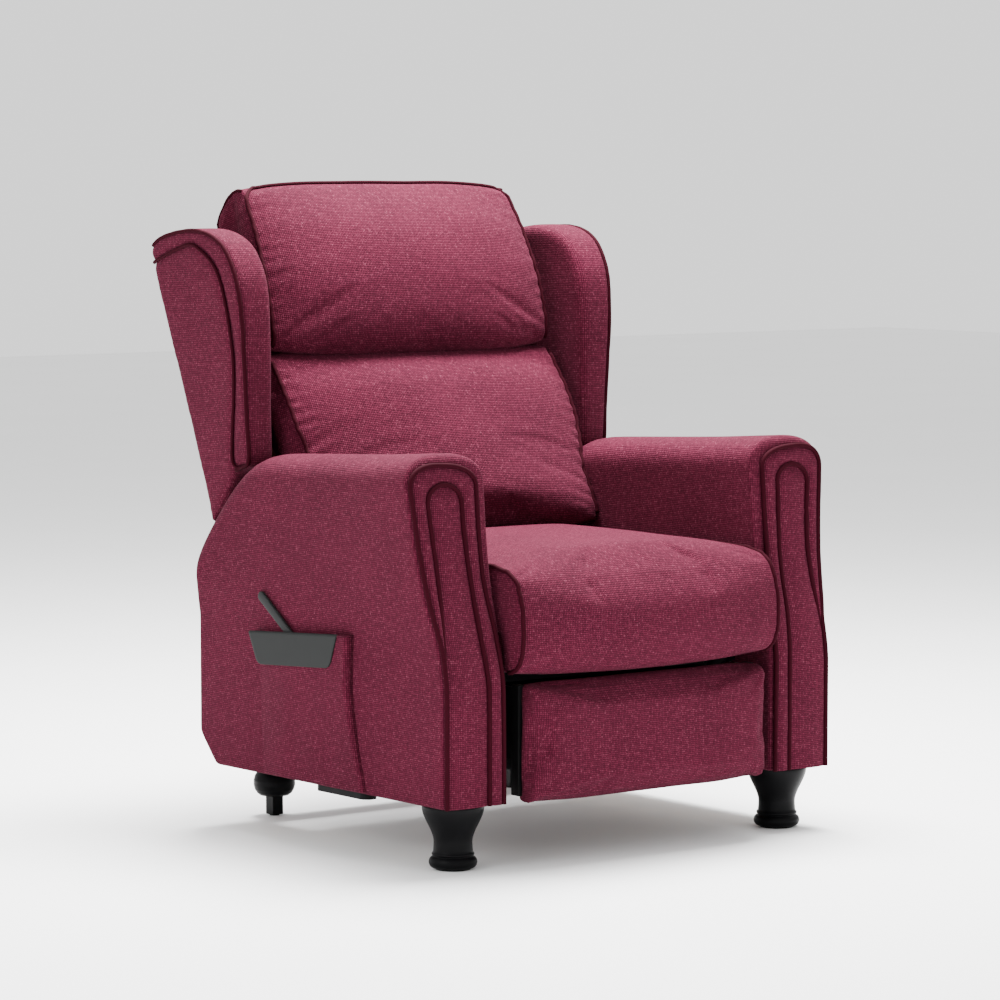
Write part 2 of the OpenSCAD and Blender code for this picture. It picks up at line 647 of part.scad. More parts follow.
// A wing: an upright slab with rounded edges that leans out towards its top
module wing(s) color(fabric) stand() side(s) {
    x0 = wing_x - wing_t;
    r = 17;
    steps = [[0, 1], [0.05, 0.45], [0.16, 0.12], [0.32, 0], [0.68, 0], [0.84, 0.1], [0.95, 0.4], [1, 1]];
    line = soften(wing_line);
    n = len(line);
    rings = [for (st = steps) let (pts = inset(line, r * 0.5 * st[1]))
        each [for (p = pts) [x0 + wing_t * st[0] + 0.055 * (p[1] - 560) * st[0], p[0], p[1]]]];
    polyhedron(rings, concat(
        [for (k = [0:len(steps) - 2]) for (i = [0:n - 1]) let (j = (i + 1) % n)
            each [[k * n + i, (k + 1) * n + j, k * n + j], [k * n + i, (k + 1) * n + i, (k + 1) * n + j]]],
        [[for (i = [0:n - 1]) i]], [[for (i = [n - 1:-1:0]) (len(steps) - 1) * n + i]]));
}

pad_y = stile_y - 0.3;

function w3(p, w) = [p[0], p[1], w];

module lumbar_cushion() color(fabric) stand()
    cushion([w3(bk(pad_y, -22), 0), w3(bk(pad_y, 80), 0), w3(bk(pad_y, 180), 0), w3(bk(pad_y, 262), 0),
        [620, 651, 0], [588, 650, 0], [570, 636, 0.8], [554, 603, 1], [529, 563, 1], [507, 523, 1],
        [478, 473, 1], [452, 425, 1], [438, 396, 0.6], [446, 380, 0.1], [500, 379, 0]],
        inner_x - 7, lumbar_crown, 8, 22, arm_h - 24);

module head_pillow() color(fabric) stand()
    cushion([w3(bk(pad_y, 279), 0), w3(bk(pad_y, 360), 0), w3(bk(pad_y, stile_top - 4), 0),
        w3(bk(pad_y, stile_top + 1), 0), w3(bk(pad_y + 5, stile_top + 1), 0),
        w3(bk(-30, stile_top + 3), 0), w3(bk(-20, stile_top + 20), 0.1), w3(bk(-22, 500), 0.2),
        [756, 896, 0.5], [712, 915, 0.4], [684, 908, 0.3], [655, 865, 0.7], [633, 823, 1],
        [613, 783, 1], [600, 743, 1], [590, 703, 1], [585, 678, 0.8], [597, 661, 0.1], [630, 660, 0]],
        inner_x + 10, head_crown, 8);

module back_bracket(s) color(steel) side(s) stand() {
    x0 = layer_x;
    upright(x0, plate_t) {
        bar([pivot_y, pivot_z], bk(stile_y + 30, -60), 34);
        bar([pivot_y, pivot_z], link_ear, 30);
        bar(link_ear, bk(stile_y + 30, -150), 26);
        bar(bk(stile_y + 30, -150), bk(stile_y + 30, -40), 34);
    }
    pin(link_ear, link_pin, layer_x - 2 * plate_t - 1.5, x0 + plate_t / 2);
    pin([pivot_y, pivot_z], pivot_d, x0 + plate_t / 2, base_x - 0.2);
}

module recline_links() color(steel) stand() for (s = [-1, 1]) side(s)
    upright(layer_x - 2 * plate_t - 1, plate_t) difference() {
        union() {
            bar(link_root, link_ear, bar_w - 3);
            spot(link_ear, link_pin + 2 * link_play + 8);
        }
        spot(link_root, link_pin + bore_gap);
        spot(link_ear, link_pin + 2 * link_play);
    }

arm_frame(-1);  // left_arm_frame
arm_frame(1);  // right_arm_frame
arm_cover(-1);  // left_arm_cover
arm_cover(1);  // right_arm_cover
arm_facing(-1);  // left_arm_facing
arm_facing(1);  // right_arm_facing
arm_piping(-1);  // left_arm_piping
arm_piping(1);  // right_arm_piping
side_pocket();
lever_guard();
lever_bracket();
front_leg(-1);  // left_front_leg
front_leg(1);  // right_front_leg
leg_bolts();
rear_buns();
rear_posts();
foot_glides();
rear_cross_rail();
cross_tube();
base_plate(-1);  // left_base_plate
base_plate(1);  // right_base_plate
base_bolts();
under_rails();
seat_rail(-1);  // left_seat_rail
seat_rail(1);  // right_seat_rail
cross_seat_rail(seat_front);  // front_seat_rail
cross_seat_rail(seat_front + seat_frame_d - seat_rail_t);  // rear_seat_rail
seat_springs();
seat_cushion();
seat_plate(-1);  // left_seat_plate
seat_plate(1);  // right_seat_plate
lift_link(-1);  // left_lift_link
lift_link(1);  // right_lift_link
guide_link(-1);  // left_guide_link
guide_link(1);  // right_guide_link
carry_link(-1);  // left_carry_link
carry_link(1);  // right_carry_link
tilt_link(-1);  // left_tilt_link
tilt_link(1);  // right_tilt_link
drive_tube();
board_bracket(-1);  // left_board_bracket
board_bracket(1);  // right_board_bracket
footrest_board();
footrest_pad();
back_stile(-1);  // left_back_stile
back_stile(1);  // right_back_stile
back_rail(stile_top - 60, 60);  // top_back_rail
back_rail(stile_foot, 60);  // bottom_back_rail
back_webbing();
outside_back();
wing(-1);  // left_wing
wing(1);  // right_wing
lumbar_cushion();
head_pillow();
back_bracket(-1);  // left_back_bracket
back_bracket(1);  // right_back_bracket
recline_links();
recline_lever();
lever_grip();
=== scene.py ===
import json
import logging
import math
from dataclasses import dataclass
from enum import Enum
from itertools import accumulate
from typing import Callable, ClassVar, Iterable, Sequence

import bmesh
import bpy
import numpy as np
from mathutils import Euler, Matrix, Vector, noise
from mathutils.bvhtree import BVHTree
from mathutils.kdtree import KDTree


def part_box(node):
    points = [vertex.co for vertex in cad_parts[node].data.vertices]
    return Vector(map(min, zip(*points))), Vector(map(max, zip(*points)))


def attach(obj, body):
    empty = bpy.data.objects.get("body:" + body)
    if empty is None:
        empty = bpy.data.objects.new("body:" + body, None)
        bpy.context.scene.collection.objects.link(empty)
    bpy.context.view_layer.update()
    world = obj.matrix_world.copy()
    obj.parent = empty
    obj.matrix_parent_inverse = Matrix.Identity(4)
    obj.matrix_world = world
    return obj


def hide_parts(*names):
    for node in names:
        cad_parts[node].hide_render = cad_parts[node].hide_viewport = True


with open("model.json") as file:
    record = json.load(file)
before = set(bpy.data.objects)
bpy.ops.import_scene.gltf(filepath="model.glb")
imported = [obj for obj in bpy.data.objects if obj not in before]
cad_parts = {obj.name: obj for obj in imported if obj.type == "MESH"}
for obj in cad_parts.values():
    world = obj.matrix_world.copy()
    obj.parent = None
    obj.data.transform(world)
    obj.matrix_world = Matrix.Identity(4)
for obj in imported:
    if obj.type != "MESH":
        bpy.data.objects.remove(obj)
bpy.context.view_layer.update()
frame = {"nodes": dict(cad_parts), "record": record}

log = logging.getLogger("recliner")

MM = 0.001
# The chair is drawn in millimetres from the arms' front edge and their underside. The frame
# gives both through the left front leg, whose middle lies LEG_DEPTH behind that edge.
LEG_DEPTH = 60.0
LEG_LOW, LEG_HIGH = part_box("left_front_leg")
LEG_TOP = LEG_HIGH[2] + 0.3 * MM
ARM_FRONT = (LEG_LOW[1] + LEG_HIGH[1]) / 2 - LEG_DEPTH * MM
# Distances from the chair's middle to an arm's two faces and to a wing's outer face.
INNER_X = 265.0
OUTER_X = 381.0
WING_X = OUTER_X - 15
# Lean of the back, and depth and height of its rear face's foot.
RAKE = math.radians(18.7)
BACK_FOOT = (649.0, 377.0)
# Radii of the welt cords: round the arms' front, along cushions and wings, and the flat seams.
ARM_CORD = 3.8
CORD = 3.4
FINE_CORD = 2.6
# Depth from which the side pocket's mouth falls, and its fall per millimetre.
MOUTH_FROM = 250
MOUTH_FALL = 0.062
# Frames over which a cushion is filled, and the cloth that it is covered with.
FILL_FRAMES = 20
COVER_CLOTH = {
    "quality": 4,
    "mass": 0.3,
    "tension_stiffness": 18,
    "compression_stiffness": 18,
    "shear_stiffness": 6,
    "bending_stiffness": 0.6,
}
# Distances between the points of a sewn line and of a welt, and a welt's lift off the cloth, in metres.
SEAM_STEP = 0.004
WELT_STEP = 0.005
WELT_LIFT = 0.0012


def place(x: float, y: float, z: float) -> Vector:
    """Turns sizes of the chair into a point of the frame.

    Args:
        x: Millimetres from the middle of the chair.
        y: Millimetres behind the arms' front.
        z: Millimetres above the arms' underside.

    Returns:
        The point, in metres, in the frame.
    """
    return Vector((x * MM, ARM_FRONT + y * MM, LEG_TOP + z * MM))


def on_back(y: float, z: float) -> tuple[float, float]:
    """Turns a place on the raked back into depth and height, in millimetres.

    Args:
        y: Distance out of the back's rear face.
        z: Distance up its slope.

    Returns:
        Depth and height as place() takes them.
    """
    c, s = math.cos(RAKE), math.sin(RAKE)
    return BACK_FOOT[0] + y * c + z * s, BACK_FOOT[1] - y * s + z * c


def ease(t: float) -> float:
    """Smooth step from 0 to 1."""
    u = min(max(t, 0.0), 1.0)
    return u * u * (3 - 2 * u)


Line = Sequence[tuple[float, float]]


def follow(line: Line, at: float) -> float:
    """Reads a smooth line that is given by pairs of place and value."""
    if at <= line[0][0]:
        return line[0][1]
    for k, ((a, p), (b, q)) in enumerate(zip(line, line[1:])):
        if at <= b:
            before, after = line[max(k - 1, 0)][1], line[min(k + 2, len(line) - 1)][1]
            t = (at - a) / (b - a)
            bend = (3 * p - before - 3 * q + after) * t + 2 * before - 5 * p + 4 * q - after
            return 0.5 * (2 * p + (q - before) * t + bend * t * t)
    return line[-1][1]


class Side(Enum):
    """The side of the chair, as the sitter names it from the front."""

    LEFT = -1
    RIGHT = 1

    @property
    def word(self) -> str:
        """The side's word in node names."""
        return self.name.lower()


# ---- Shader expressions and finishes


class Expr:
    """A value socket that takes part in Python arithmetic."""

    def __init__(self, shader: "Shader", socket: bpy.types.NodeSocket) -> None:
        """Wraps a socket of a shader's tree."""
        self.shader = shader
        self.socket = socket

    def math(self, operation: str, *others: "Expr | float") -> "Expr":
        """Adds a Math node.

        Args:
            operation: The node's operation.
            others: Its other operands.

        Returns:
            The result as an expression.
        """
        values = {i: v for i, v in enumerate((self, *others))}
        return self.shader.node("ShaderNodeMath", {"operation": operation}, values).out(0)

    def reflected(self, operation: str, other: float) -> "Expr":
        """Adds a Math node whose first operand is a number."""
        return self.shader.node("ShaderNodeMath", {"operation": operation}, {0: other, 1: self}).out(0)

    def __add__(self, other: "Expr | float") -> "Expr":
        """Sum."""
        return self.math("ADD", other)

    __radd__ = __add__

    def __sub__(self, other: "Expr | float") -> "Expr":
        """Difference."""
        return self.math("SUBTRACT", other)

    def __rsub__(self, other: float) -> "Expr":
        """Difference from a number."""
        return self.reflected("SUBTRACT", other)

    def __mul__(self, other: "Expr | float") -> "Expr":
        """Product."""
        return self.math("MULTIPLY", other)

    __rmul__ = __mul__

    def __truediv__(self, other: "Expr | float") -> "Expr":
        """Quotient."""
        return self.math("DIVIDE", other)

    def __pow__(self, other: float) -> "Expr":
        """Power."""
        return self.math("POWER", other)

    def floor(self) -> "Expr":
        """Whole part."""
        return self.math("FLOOR")

    def fract(self) -> "Expr":
        """Fractional part."""
        return self.math("FRACT")

    def sin(self) -> "Expr":
        """Sine."""
        return self.math("SINE")

    def step(self, low: float, high: float) -> "Expr":
        """Smooth step between two values."""
        settings = {"interpolation_type": "SMOOTHSTEP"}
        return self.shader.node("ShaderNodeMapRange", settings, {0: self, 1: low, 2: high, 3: 0.0, 4: 1.0}).out(0)


class Wired:
    """A node of a shader's tree, whose outputs are read as expressions."""

    def __init__(self, shader: "Shader", node: bpy.types.Node) -> None:
        """Wraps a node."""
        self.shader = shader
        self.node = node

    def out(self, key: int | str) -> Expr:
        """One of the node's outputs."""
        return Expr(self.shader, self.node.outputs[key])


class Shader:
    """A material's node tree, built from Python expressions."""

    def __init__(self, name: str) -> None:
        """Starts an empty material with a Principled shader.

        Args:
            name: The material's name.
        """
        self.material = bpy.data.materials.new(name)
        self.material.use_nodes = True
        self.tree = self.material.node_tree
        self.bsdf = self.tree.nodes["Principled BSDF"]

    def node(self, kind: str, settings: dict[str, object], values: dict[int | str, object]) -> Wired:
        """Adds a node.

        Args:
            kind: The node's type.
            settings: Its own settings; "stops" holds a ramp's positions and colours.
            values: Numbers, colours or expressions for its inputs, by index or name.

        Returns:
            The node.
        """
        made = self.tree.nodes.new(kind)
        for key, value in settings.items():
            if key == "stops":
                ramp = made.color_ramp.elements
                while len(ramp) < len(value):
                    ramp.new(0.5)
                for stop, (position, colour) in zip(ramp, value):
                    stop.position, stop.color = position, colour
            else:
                setattr(made, key, value)
        for key, value in values.items():
            self.feed(made.inputs[key], value)
        return Wired(self, made)

    def feed(self, socket: bpy.types.NodeSocket, value: object) -> None:
        """Links an expression to a socket, or sets the socket's own value."""
        if isinstance(value, Expr):
            self.tree.links.new(value.socket, socket)
        else:
            socket.default_value = value

    def set(self, **values: object) -> None:
        """Feeds the Principled shader's sockets, with _ for a space."""
        for key, value in values.items():
            self.feed(self.bsdf.inputs[key.replace("_", " ")], value)

    def coordinates(self, output: str) -> Expr:
        """Object or UV coordinates."""
        return self.node("ShaderNodeTexCoord", {}, {}).out(output)

    def parts(self, vector: Expr) -> tuple[Expr, Expr, Expr]:
        """The three parts of a vector."""
        split = self.node("ShaderNodeSeparateXYZ", {}, {0: vector})
        return split.out(0), split.out(1), split.out(2)

    def vector(self, x: Expr | float, y: Expr | float, z: Expr | float) -> Expr:
        """A vector from three parts."""
        return self.node("ShaderNodeCombineXYZ", {}, {0: x, 1: y, 2: z}).out(0)

    def noise(self, at: Expr, scale: float, detail: float = 2.0, roughness: float = 0.5) -> Expr:
        """A noise value between 0 and 1."""
        values = {"Vector": at, "Scale": scale, "Detail": detail, "Roughness": roughness}
        return self.node("ShaderNodeTexNoise", {}, values).out(0)

    def blend(self, share: Expr | float, a: object, b: object) -> Expr:
        """A colour between a and b."""
        return self.node("ShaderNodeMix", {"data_type": "RGBA"}, {0: share, 6: a, 7: b}).out(2)

    def bump(self, height: Expr, strength: float, distance: float) -> None:
        """Feeds the shader's normal from a height."""
        values = {"Strength": strength, "Distance": distance, "Height": height}
        self.set(Normal=self.node("ShaderNodeBump", {}, values).out(0))


Colour = tuple[float, float, float, float]


@dataclass(frozen=True)
class Upholstery:
    """Coarse woven melange cloth: a plain weave whose yarns carry pale slubs."""

    name: str = "upholstery_cloth"
    deep: Colour = (0.021, 0.0019, 0.0062, 1)
    middle: Colour = (0.127, 0.0145, 0.0355, 1)
    fleck: Colour = (0.28, 0.090, 0.128, 1)
    pitch: float = 0.0030
    relief: float = 0.0008

    def material(self) -> bpy.types.Material:
        """Builds the cloth.

        Returns:
            The material.
        """
        s = Shader(self.name)
        u, v, _ = s.parts(s.coordinates("UV"))
        u, v = u / self.pitch, v / self.pitch
        over = ((u.floor() + v.floor()) * 0.5).fract().step(0.2, 0.3)
        warp = (u.fract() * math.pi).sin()
        weft = (v.fract() * math.pi).sin()
        crossing = warp * (0.45 + 0.55 * weft) * over + weft * (0.45 + 0.55 * warp) * (1 - over)
        along_warp = s.noise(s.vector(u.floor() * 3.7, v * 0.3, 0.0), 1.0, 2.0, 0.7)
        along_weft = s.noise(s.vector(u * 0.3, v.floor() * 3.7, 5.0), 1.0, 2.0, 0.7)
        slub = along_warp * over + along_weft * (1 - over)
        grain = s.noise(s.vector(u * 0.42, v * 0.42, 9.0), 1.0, 3.0, 0.75)
        tone = s.noise(s.coordinates("Object"), 9.0, 3.0, 0.6)
        depth = (slub * 0.8 + grain * 0.9 + tone * 0.3 - 1.0).step(-0.28, 0.30)
        base = s.blend((0.35 + depth * 0.65) * crossing, self.deep, self.middle)
        pale = (slub * 0.8 + grain * 0.3).step(0.55, 0.92) * crossing
        s.set(Base_Color=s.blend(pale * 0.55, base, self.fleck), Roughness=0.82 + 0.14 * grain)
        s.set(Sheen_Weight=0.025, Sheen_Roughness=0.45, Sheen_Tint=(0.95, 0.4, 0.55, 1), Specular_IOR_Level=0.045)
        s.bump(crossing * 0.75 + slub * 0.45, 0.85, self.relief)
        return s.material


@dataclass(frozen=True)
class WeltCloth:
    """Welt cord wrapped on the bias, in the upholstery's burgundy painted far darker: painted shade of the grooves
    that the welts lie in.
    """

    name: str = "welt_cloth"
    # Both tones are painted shade: the welts' cloth is the upholstery's burgundy, darkened for the shade in the
    # grooves.
    dark: Colour = (0.009, 0.0005, 0.0019, 1)
    light: Colour = (0.036, 0.0020, 0.0072, 1)

    def material(self) -> bpy.types.Material:
        """Builds the welt's cloth."""
        s = Shader(self.name)
        at = s.coordinates("Object")
        x, y, z = s.parts(at)
        bias = ((x + y + z) * 2400.0).sin() * 0.5 + 0.5
        grain = s.noise(at, 420.0, 3.0, 0.7)
        s.set(Base_Color=s.blend(grain * 0.6 + bias * 0.25, self.dark, self.light), Roughness=0.78 + 0.15 * grain)
        s.set(Specular_IOR_Level=0.04)
        s.bump(bias * 0.4 + grain * 0.6, 0.5, 0.0004)
        return s.material


@dataclass(frozen=True)
class Coating:
    """A plain coloured surface with grain, rubbed patches at random and uneven gloss."""

    name: str
    base: Colour
    worn: Colour
    roughness: float
    grain_size: float = 900.0
    relief: float = 0.00008
    metallic: float = 0.0
    gloss: float = 0.07
    mottle: float = 0.35

    def material(self) -> bpy.types.Material:
        """Builds the coating."""
        s = Shader(self.name)
        at = s.coordinates("Object")
        cloud = s.noise(at, 26.0, 4.0, 0.6)
        grain = s.noise(at, self.grain_size, 2.0, 0.6)
        rubbed = (cloud * 0.7 + grain * 0.3).step(0.52, 0.78)
        s.set(Base_Color=s.blend(rubbed * self.mottle, self.base, self.worn))
        s.set(Roughness=self.roughness - 0.05 + 0.12 * cloud + 0.05 * grain, Metallic=self.metallic)
        s.set(Specular_IOR_Level=self.gloss)
        s.bump(grain, 0.35, self.relief)
        return s.material


@dataclass(frozen=True)
class Timber:
    """Planed frame timber with grain along the frame's depth."""

    name: str = "frame_timber"
    pale: Colour = (0.30, 0.19, 0.10, 1)
    dark: Colour = (0.16, 0.085, 0.04, 1)

    def material(self) -> bpy.types.Material:
        """Builds the timber."""
        s = Shader(self.name)
        x, y, z = s.parts(s.coordinates("Object"))
        at = s.vector(x * 26.0, y * 2.2, z * 26.0)
        rings = ((s.noise(at, 1.6, 3.0, 0.6) * 9.0 + z * 60.0).sin() * 0.5 + 0.5) ** 1.6
        pores = s.noise(s.vector(x * 900.0, y * 40.0, z * 900.0), 1.0, 2.0, 0.6)
        s.set(Base_Color=s.blend(rings * 0.55 + pores * 0.2, self.pale, self.dark), Roughness=0.55 + 0.2 * pores)
        s.bump(pores * 0.6 + rings * 0.4, 0.25, 0.0002)
        return s.material


@dataclass(frozen=True)
class Webbing:
    """Elastic seat webbing with a ribbed weave."""

    name: str = "webbing_band"

    def material(self) -> bpy.types.Material:
        """Builds the webbing."""
        s = Shader(self.name)
        x, _, z = s.parts(s.coordinates("Object"))
        rib = ((z * 1500.0).sin() * 0.5 + 0.5) * ((x * 2600.0).sin() * 0.25 + 0.75)
        s.set(Base_Color=s.blend(rib, (0.006, 0.006, 0.007, 1), (0.035, 0.035, 0.037, 1)), Roughness=0.8 + 0.1 * rib)
        s.bump(rib, 0.5, 0.0005)
        return s.material


@dataclass(frozen=True)
class Paper:
    """The pale studio floor."""

    name: str = "studio_floor"

    def material(self) -> bpy.types.Material:
        """Builds the floor's surface."""
        s = Shader(self.name)
        cloud = s.noise(s.coordinates("Object"), 2.0, 2.0, 0.5)
        s.set(Base_Color=s.blend(cloud, (0.86, 0.86, 0.86, 1), (0.90, 0.90, 0.90, 1)), Roughness=0.6)
        return s.material


LACQUER = Coating("black_lacquer", (0.0022, 0.0022, 0.0026, 1), (0.008, 0.008, 0.009, 1), 0.38, 500.0, gloss=0.06)
BLACK_PLASTIC = Coating("black_plastic", (0.003, 0.003, 0.0033, 1), (0.012, 0.012, 0.013, 1), 0.5, 1300.0, 0.0001)
GREY_PLASTIC = Coating("grey_plastic", (0.013, 0.014, 0.0138, 1), (0.022, 0.023, 0.0225, 1), 0.5, 1500.0, 0.0001)
LEVER_PAINT = Coating("lever_paint", (0.014, 0.0145, 0.0148, 1), (0.03, 0.0305, 0.031, 1), 0.42, 700.0)
STEEL = Coating("mechanism_steel", (0.006, 0.006, 0.007, 1), (0.04, 0.04, 0.042, 1), 0.42, 700.0, metallic=0.5)


class Workroom:
    """The finishes, each made once."""

    def __init__(self) -> None:
        """Builds every material."""
        self.by_slot = {
            "fabric": Upholstery().material(),
            # The welts' cloth is painted darker than the upholstery: painted shade.
            "piping": WeltCloth().material(),
            "timber": Timber().material(),
            "black_wood": LACQUER.material(),
            "black_plastic": BLACK_PLASTIC.material(),
            "grey_plastic": GREY_PLASTIC.material(),
            "lever_metal": LEVER_PAINT.material(),
            "webbing": Webbing().material(),
            "steel": STEEL.material(),
        }


# ---- Meshes


def new_object(name: str, bm: bmesh.types.BMesh) -> bpy.types.Object:
    """Makes a smoothly shaded object of a bmesh, with its faces pointing outwards.

    Args:
        name: The object's name.
        bm: The mesh, which is freed.

    Returns:
        The object, at the origin.
    """
    bmesh.ops.recalc_face_normals(bm, faces=bm.faces)
    for face in bm.faces:
        face.smooth = True
    mesh = bpy.data.meshes.new(name)
    bm.to_mesh(mesh)
    bm.free()
    made = bpy.data.objects.new(name, mesh)
    bpy.context.scene.collection.objects.link(made)
    return made


def sheet_of(
    steps: tuple[int, int], where: Callable[[float, float], Vector], bm: bmesh.types.BMesh | None = None
) -> bmesh.types.BMesh:
    """Lays a grid over a surface that a function gives.

    Args:
        steps: Squares along u and along v.
        where: The point at u and v, each from 0 to 1.
        bm: A mesh to add to, or None for a new one.

    Returns:
        The mesh.
    """
    bm = bm or bmesh.new()
    grid = bmesh.ops.create_grid(bm, x_segments=steps[0], y_segments=steps[1], size=0.5)
    for vert in grid["verts"]:
        vert.co = where(vert.co.x + 0.5, vert.co.y + 0.5)
    return bm


def closed_skin(bm: bmesh.types.BMesh, rings: Sequence[Sequence[Vector]]) -> None:
    """Joins rings of points, one after another, into a form that is closed at both ends.

    Args:
        bm: The mesh to add to.
        rings: The rings, each with the same number of points.
    """
    loops = []
    for ring in rings:
        verts = [bm.verts.new(p) for p in ring]
        loops.append([bm.edges.new(pair) for pair in zip(verts, verts[1:] + verts[:1])])
    for a, b in zip(loops, loops[1:]):
        bmesh.ops.bridge_loops(bm, edges=a + b)
    for loop in (loops[0], loops[-1]):
        bmesh.ops.contextual_create(bm, geom=loop)


def smooth_path(points: Sequence[Vector], spacing: float = 0.006) -> list[Vector]:
    """Runs a smooth curve through points.

    Args:
        points: The points, in metres.
        spacing: Distance between the curve's points.

    Returns:
        Evenly spaced points.
    """
    fine = []
    held = [points[0], *points, points[-1]]
    for a, b, c, d in zip(held, held[1:], held[2:], held[3:]):
        steps = max(2, int((c - b).length / spacing * 2))
        for k in range(steps):
            t = k / steps
            fine.append(
                0.5 * (2 * b + (c - a) * t + (2 * a - 5 * b + 4 * c - d) * t * t + (3 * b - a - 3 * c + d) * t**3)
            )
    fine.append(points[-1].copy())
    path, left = [fine[0]], spacing
    for p, q in zip(fine, fine[1:]):
        left -= (q - p).length
        if left <= 0:
            path.append(q)
            left = spacing
    if (path[-1] - fine[-1]).length > spacing * 0.4:
        path.append(fine[-1])
    return path


def welt(name: str, path: Sequence[Vector], radius: float) -> bpy.types.Object:
    """Makes a round welt cord along a path.

    Args:
        name: The object's name.
        path: Its middle line, in metres.
        radius: Its radius, in millimetres.

    Returns:
        The welt as a mesh object.
    """
    curve = bpy.data.curves.new(name, "CURVE")
    curve.dimensions = "3D"
    curve.bevel_depth = radius * MM
    curve.bevel_resolution = 3
    curve.use_fill_caps = True
    spline = curve.splines.new("POLY")
    spline.points.add(len(path) - 1)
    for knot, p in zip(spline.points, path):
        knot.co = (*p, 1)
    drawn = bpy.data.objects.new(name, curve)
    bpy.context.scene.collection.objects.link(drawn)
    mesh = bpy.data.meshes.new_from_object(drawn)
    bpy.data.objects.remove(drawn)
    bm = bmesh.new()
    bm.from_mesh(mesh)
    bpy.data.meshes.remove(mesh)
    bmesh.ops.remove_doubles(bm, verts=bm.verts, dist=1e-6)
    return new_object(name, bm)


def surface_of(obj: bpy.types.Object) -> BVHTree:
    """The object's surface, for finding nearest points."""
    return BVHTree.FromObject(obj, bpy.context.evaluated_depsgraph_get())


def settle(path: Iterable[Vector], surface: BVHTree, lift: float) -> list[Vector]:
    """Moves a path onto a surface.

    Args:
        path: The points.
        surface: What they lie on.
        lift: How far the points stand off it.

    Returns:
        The moved points.
    """
    settled = []
    for p in path:
        near, normal, _, _ = surface.find_nearest(p)
        settled.append(near + normal * lift)
    return settled


def read(items: bpy.types.bpy_prop_collection, key: str, kind: type, width: int = 1) -> np.ndarray:
    """Reads one property of a mesh's items.

    Args:
        items: The mesh's vertices, corners or faces.
        key: The property.
        kind: Its number type.
        width: How many numbers it has.

    Returns:
        A row for each item, or a plain list of numbers where the width is 1.
    """
    flat = np.empty(len(items) * width, kind)
    items.foreach_get(key, flat)
    return flat.reshape(-1, width) if width > 1 else flat


def push(obj: bpy.types.Object, rise: Callable[[Vector], float]) -> None:
    """Moves each point of a piece along its normal.

    Args:
        obj: The piece.
        rise: How far a point moves outwards, in metres.
    """
    co = read(obj.data.vertices, "co", np.float32, 3)
    normals = read(obj.data.vertex_normals, "vector", np.float32, 3)
    moved = co + normals * np.array([[rise(Vector(p))] for p in co.tolist()], np.float32)
    obj.data.vertices.foreach_set("co", moved.ravel())
    obj.data.update()


def tree_of(points: Sequence[Vector]) -> KDTree:
    """A tree for finding the nearest of some points."""
    tree = KDTree(len(points))
    for i, p in enumerate(points):
        tree.insert(p, i)
    tree.balance()
    return tree


def crease(obj: bpy.types.Object, paths: Iterable[Sequence[Vector]], reach: float, depth: float) -> None:
    """Draws a surface in along sewn lines.

    Args:
        obj: The piece.
        paths: Lines of points on it.
        reach: How far from the line it is drawn in.
        depth: How deep, at the line.
    """
    tree = tree_of([p for path in paths for p in path])
    push(obj, lambda co: -depth * max(0.0, 1 - tree.find(co)[2] / reach) ** 2)


def ripple(obj: bpy.types.Object, amount: float, scale: float) -> None:
    """Gives cloth a slight unevenness."""
    push(obj, lambda co: amount * noise.noise(co * scale))


def remeshed(obj: bpy.types.Object, voxel: float, soften: int = 2) -> None:
    """Rebuilds a closed form from even squares.

    Args:
        obj: The object, whose mesh is replaced.
        voxel: Size of a square, in metres.
        soften: Rounds of smoothing.
    """
    remesh = obj.modifiers.new("even", "REMESH")
    remesh.mode = "VOXEL"
    remesh.voxel_size = voxel
    if soften:
        smooth = obj.modifiers.new("soften", "SMOOTH")
        smooth.factor = 0.5
        smooth.iterations = soften
    apply_modifiers(obj)


def apply_modifiers(obj: bpy.types.Object) -> None:
    """Replaces the object's mesh by what its modifiers make of it."""
    mesh = bpy.data.meshes.new_from_object(obj.evaluated_get(bpy.context.evaluated_depsgraph_get()))
    obj.modifiers.clear()
    obj.data = mesh
    for face in mesh.polygons:
        face.use_smooth = True


def soften_edges(bm: bmesh.types.BMesh, edges: Sequence[bmesh.types.BMEdge], width: float) -> None:
    """Rounds some edges of a mesh by a width in millimetres."""
    bmesh.ops.bevel(bm, geom=edges, offset=width * MM, segments=3, profile=0.5, affect="EDGES", material=-1)


def covered_box(
    name: str, size: Sequence[float], centre: Vector, softness: float, tilt: float = 0.0
) -> bpy.types.Object:
    """Makes a block with softened edges.

    Args:
        name: The object's name.
        size: Its width, depth and height, in millimetres.
        centre: Its middle, in the frame.
        softness: How far its edges are rounded, in millimetres.
        tilt: Turn about x.

    Returns:
        The block.
    """
    bm = bmesh.new()
    bmesh.ops.create_cube(bm, size=1.0)
    bmesh.ops.scale(bm, vec=Vector(size) * MM, verts=bm.verts)
    soften_edges(bm, bm.edges[:], softness)
    bmesh.ops.rotate(bm, cent=(0, 0, 0), matrix=Euler((tilt, 0, 0)).to_matrix(), verts=bm.verts)
    bmesh.ops.translate(bm, vec=centre, verts=bm.verts)
    return new_object(name, bm)


def finer(obj: bpy.types.Object) -> None:
    """Adds a level of subdivision."""
    sub = obj.modifiers.new("finer", "SUBSURF")
    sub.levels = sub.render_levels = 1


def thicken(obj: bpy.types.Object, thickness: float) -> None:
    """Gives a sheet its thickness in millimetres, towards its inner side."""
    thick = obj.modifiers.new("thickness", "SOLIDIFY")
    thick.thickness = thickness * MM
    thick.offset = -1


